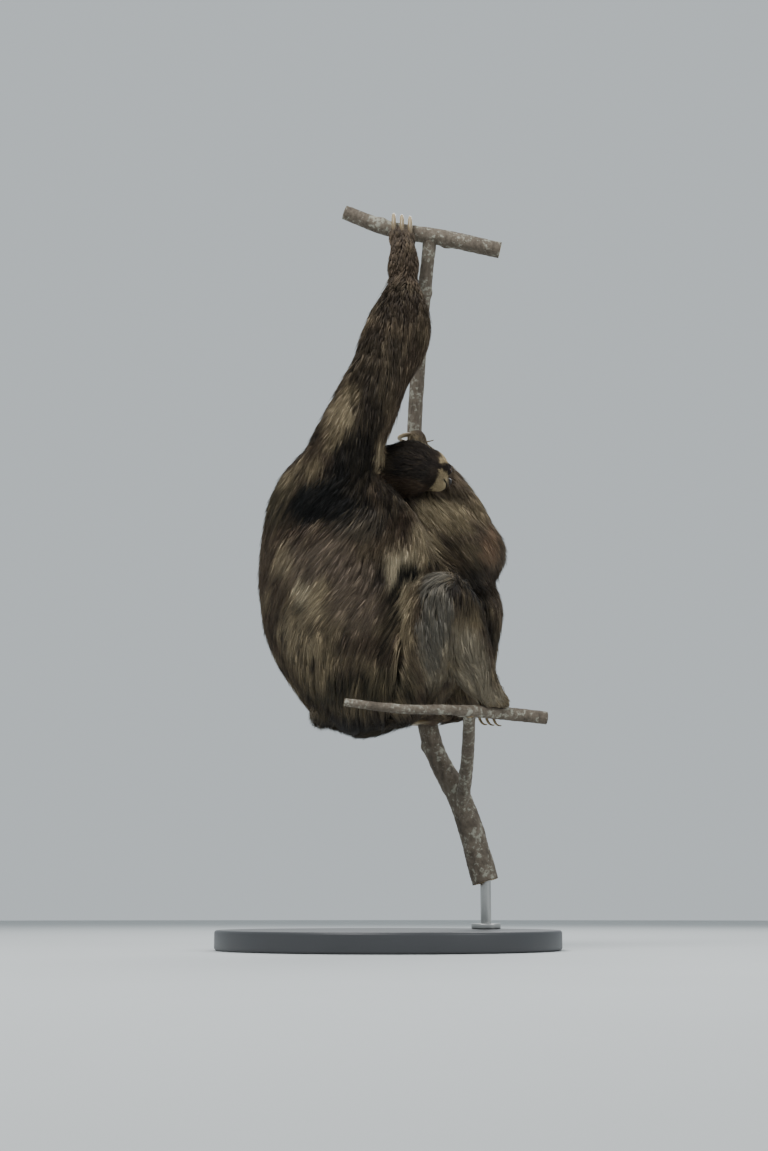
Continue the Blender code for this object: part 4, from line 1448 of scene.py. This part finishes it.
def nose_mesh(settings):
    """The nose pad: an oval ball with two comma nostrils pressed in and a groove down its middle."""
    low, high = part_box("nose")
    middle = (np.array(low) + np.array(high)) / 2
    half = np.array((0.0052, 0.0086, 0.0057)) * settings.nose_size
    grid = ball_grid(half, 60, 84)
    shape = grid.copy()
    front = smooth(0.0, 0.6, grid[..., 0] / half[0])
    for side in (-1, 1):
        across = grid[..., 1] - side * 0.0040
        up = grid[..., 2] + 0.0006 - 0.25 * np.abs(across)
        pit = np.exp(-((across / 0.0017) ** 2) - (up / 0.0012) ** 2)
        shape[..., 0] -= 0.0027 * pit * front
    shape[..., 0] -= 0.0007 * np.exp(-((grid[..., 1] / 0.0007) ** 2)) * smooth(0.001, -0.002, grid[..., 2]) * front
    return tube_mesh("nose_pad", middle + shape @ head_axes())


def eye_mesh(name):
    """An eyeball whose pole looks out through the slit of the lids."""
    low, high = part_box(name)
    half = (np.array(high) - np.array(low)).max() / 2
    middle, *axes = eye_frames()[0 if name == "eye_left" else 1]
    return tube_mesh(name.replace("eye", "eyeball"), middle + ball_grid((half, half, half), 36, 48) @ np.array(axes))


def turned_mesh(name, profile, place, sides):
    """A profile of (radius, height) carried round an upright axis."""
    angle = np.linspace(0, 2 * math.pi, sides, endpoint=False)
    profile = np.array(profile)
    rings = np.stack(
        [
            place[0] + profile[:, :1] * np.cos(angle),
            place[1] + profile[:, :1] * np.sin(angle),
            np.repeat(profile[:, 1:], sides, axis=1),
        ],
        axis=-1,
    )
    return tube_mesh(name, rings)


def rounded(radius, low, high, edge, steps=6):
    """Profile of a disc or rod from its middle underneath to its middle on top, with rounded edges."""
    turn = np.linspace(0, math.pi / 2, steps)
    lower = [(radius - edge + edge * math.sin(a), low + edge - edge * math.cos(a)) for a in turn]
    upper = [(radius - edge + edge * math.cos(a), high - edge + edge * math.sin(a)) for a in turn]
    inner = [(radius - edge) * share for share in (0.25, 0.6, 0.98)]
    return [(r, low) for r in inner] + lower + upper + [(r, high) for r in inner[::-1]]


class CoatSettings(bpy.types.PropertyGroup):
    length: bpy.props.FloatProperty(
        name="Length", description="Length of the locks as a share of a grown animal's", default=1.0, min=0.3, max=1.6
    )
    width: bpy.props.FloatProperty(
        name="Width", description="Width of the locks as a share of the usual", default=1.0, min=0.4, max=2.0
    )
    spacing: bpy.props.FloatProperty(
        name="Spacing", description="Distance between locks as a share of the usual", default=1.0, min=0.7, max=3.0
    )
    gather: bpy.props.FloatProperty(
        name="Gather", description="How far the tips draw together", default=1.0, min=0.0, max=1.3
    )
    seed: bpy.props.IntProperty(
        name="Seed", description="Number that the scatter of the locks starts from", default=7, min=0
    )


class HeadSettings(bpy.types.PropertyGroup):
    nose_size: bpy.props.FloatProperty(
        name="Nose", description="Size of the nose pad as a share of its solid", default=1.0, min=0.7, max=1.1
    )


class PerchSettings(bpy.types.PropertyGroup):
    roughness: bpy.props.FloatProperty(
        name="Roughness", description="How far the bark's ridges and knots stand out", default=1.0, min=0.0, max=2.0
    )


class StageSettings(bpy.types.PropertyGroup):
    key_power: bpy.props.FloatProperty(
        name="Key light", description="Power of the large soft light", default=90.0, min=0.0, unit="POWER"
    )
    fill_power: bpy.props.FloatProperty(
        name="Fill light", description="Power of the light from the other side", default=18.0, min=0.0, unit="POWER"
    )
    backdrop: bpy.props.FloatVectorProperty(
        name="Backdrop",
        description="Colour behind the model",
        default=tuple(chip(196, 204, 208)),
        size=3,
        subtype="COLOR",
        min=0.0,
        max=1.0,
    )
    floor: bpy.props.FloatVectorProperty(
        name="Floor",
        description="Colour of the floor",
        default=tuple(chip(205, 208, 208)),
        size=3,
        subtype="COLOR",
        min=0.0,
        max=1.0,
    )


class SLOTH_OT_skin(bpy.types.Operator):
    """Makes the one skin that stands for all the nodes of flesh"""

    bl_idname = "sloth.skin"
    bl_label = "Skin"

    def execute(self, context):
        add_piece(skin_mesh(), skin_finish(), "coat", *FLESH)
        return {"FINISHED"}


class SLOTH_OT_coat(bpy.types.Operator):
    """Makes the locks of the coat, piece by piece"""

    bl_idname = "sloth.coat"
    bl_label = "Coat"

    def execute(self, context):
        hair = coat_finish()
        for name in PIECES:
            add_piece(coat_piece(name, context.scene.sloth_coat), hair, "coat")
        return {"FINISHED"}


class SLOTH_OT_face(bpy.types.Operator):
    """Makes the eyes and the nose"""

    bl_idname = "sloth.face"
    bl_label = "Eyes and nose"

    def execute(self, context):
        wet = eye_finish()
        for name in ("eye_left", "eye_right"):
            add_piece(eye_mesh(name), wet, "eye", name)
        add_piece(nose_mesh(context.scene.sloth_head), nose_finish(), "nose", "nose")
        return {"FINISHED"}


class SLOTH_OT_claws(bpy.types.Operator):
    """Makes the twelve claws"""

    bl_idname = "sloth.claws"
    bl_label = "Claws"

    def execute(self, context):
        horn = claw_finish()
        for name in CLAWS:
            add_piece(claw_mesh(name), horn, "claw", name)
        return {"FINISHED"}


class SLOTH_OT_perch(bpy.types.Operator):
    """Makes the branch and its side branches"""

    bl_idname = "sloth.perch"
    bl_label = "Perch"

    def execute(self, context):
        bark = bark_finish()
        for name in WOOD:
            add_piece(wood_piece(name, context.scene.sloth_perch), bark, "bark", "perch_" + name)
        return {"FINISHED"}


class SLOTH_OT_stand(bpy.types.Operator):
    """Makes the painted base, the steel rod and its collar"""

    bl_idname = "sloth.stand"
    bl_label = "Stand"

    def execute(self, context):
        low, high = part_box("stand_base")
        profile = rounded((high[0] - low[0]) / 2, low[2], high[2], 0.004)
        add_piece(turned_mesh("stand_disc", profile, (0, 0), 144), paint_finish(), "stand_wood", "stand_base")
        steel = steel_finish()
        for name, edge in (("stand_rod", 0.0010), ("stand_collar", 0.0016)):
            low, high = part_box(name)
            place = ((low[0] + high[0]) / 2, (low[1] + high[1]) / 2)
            profile = rounded((high[0] - low[0]) / 2, low[2], high[2], edge)
            add_piece(turned_mesh(name + "_turned", profile, place, 64), steel, "stand_steel", name)
        return {"FINISHED"}


class SLOTH_OT_stage(bpy.types.Operator):
    """Makes the floor, the soft lights, the backdrop and the camera"""

    bl_idname = "sloth.stage"
    bl_label = "Stage"

    def execute(self, context):
        settings = context.scene.sloth_stage
        top, under = FLOOR[0], FLOOR[0] - FLOOR[1]
        floor_mesh = turned_mesh("floor", [(0.4, under), (6.0, under), (6.0, top), (0.4, top)], (0, 0), 96)
        ground = Finish("floor")
        cloudy = ground.noise(3.0, 4.0, 0.55)
        colour = ground.mix(cloudy, tuple(np.array(settings.floor) * 0.94), tuple(settings.floor))
        floor_mesh.materials.append(ground.finish(Base_Color=colour, Roughness=0.8))
        floor = bpy.data.objects.new("floor", floor_mesh)
        context.scene.collection.objects.link(floor)
        for name, place, size, power, aim in (
            ("key", (-1.0, -1.7, 3.0), 1.6, settings.key_power, (0, 0, 0.6)),
            ("fill", (2.3, -1.5, 1.5), 0.9, settings.fill_power, (0, 0, 0.6)),
            ("back", (0.4, 2.3, 2.4), 1.8, settings.fill_power * 2.6, (0, 0, 0.7)),
        ):
            lamp = bpy.data.lights.new(name, "AREA")
            lamp.energy, lamp.size = power, size
            light = bpy.data.objects.new(name, lamp)
            light.matrix_world = look(place, aim)
            context.scene.collection.objects.link(light)
        world = bpy.data.worlds.new("room")
        world.use_nodes = True
        backdrop = world.node_tree.nodes["Background"].inputs
        backdrop["Color"].default_value = (*settings.backdrop, 1.0)
        backdrop["Strength"].default_value = 1.0
        context.scene.world = world
        camera = bpy.data.cameras.new("camera")
        place, aim, camera.lens = CAMERA
        camera.sensor_width = 36.0
        eye = bpy.data.objects.new("camera", camera)
        eye.matrix_world = look(place, aim)
        context.scene.collection.objects.link(eye)
        context.scene.camera = eye
        return {"FINISHED"}


def look(place, aim):
    """The matrix of something at a place whose own -Z points at the aim and whose Y is up."""
    way = Vector(aim) - Vector(place)
    return Matrix.Translation(Vector(place)) @ way.to_track_quat("-Z", "Y").to_matrix().to_4x4()


class SLOTH_PT_panel(bpy.types.Panel):
    """Lists the pieces and their sizes"""

    bl_label = "Three-toed sloth"
    bl_space_type = "VIEW_3D"
    bl_region_type = "UI"
    bl_category = "Sloth"

    def draw(self, context):
        for name, group in GROUPS.items():
            for key in group.__annotations__:
                self.layout.prop(getattr(context.scene, name), key)
        for step in STEPS:
            self.layout.operator(step.bl_idname)


STEPS = (
    SLOTH_OT_skin,
    SLOTH_OT_coat,
    SLOTH_OT_face,
    SLOTH_OT_claws,
    SLOTH_OT_perch,
    SLOTH_OT_stand,
    SLOTH_OT_stage,
)
GROUPS = {
    "sloth_coat": CoatSettings,
    "sloth_head": HeadSettings,
    "sloth_perch": PerchSettings,
    "sloth_stage": StageSettings,
}


def register():
    for group in GROUPS.values():
        bpy.utils.register_class(group)
    for name, group in GROUPS.items():
        setattr(bpy.types.Scene, name, bpy.props.PointerProperty(type=group))
    for step in STEPS:
        bpy.utils.register_class(step)
    bpy.utils.register_class(SLOTH_PT_panel)


def unregister():
    bpy.utils.unregister_class(SLOTH_PT_panel)
    for step in reversed(STEPS):
        bpy.utils.unregister_class(step)
    for name in GROUPS:
        delattr(bpy.types.Scene, name)
    for group in GROUPS.values():
        bpy.utils.unregister_class(group)


def main():
    register()
    for step in STEPS:
        section, action = step.bl_idname.split(".")
        getattr(getattr(bpy.ops, section), action)()


if __name__ == "__main__":
    main()
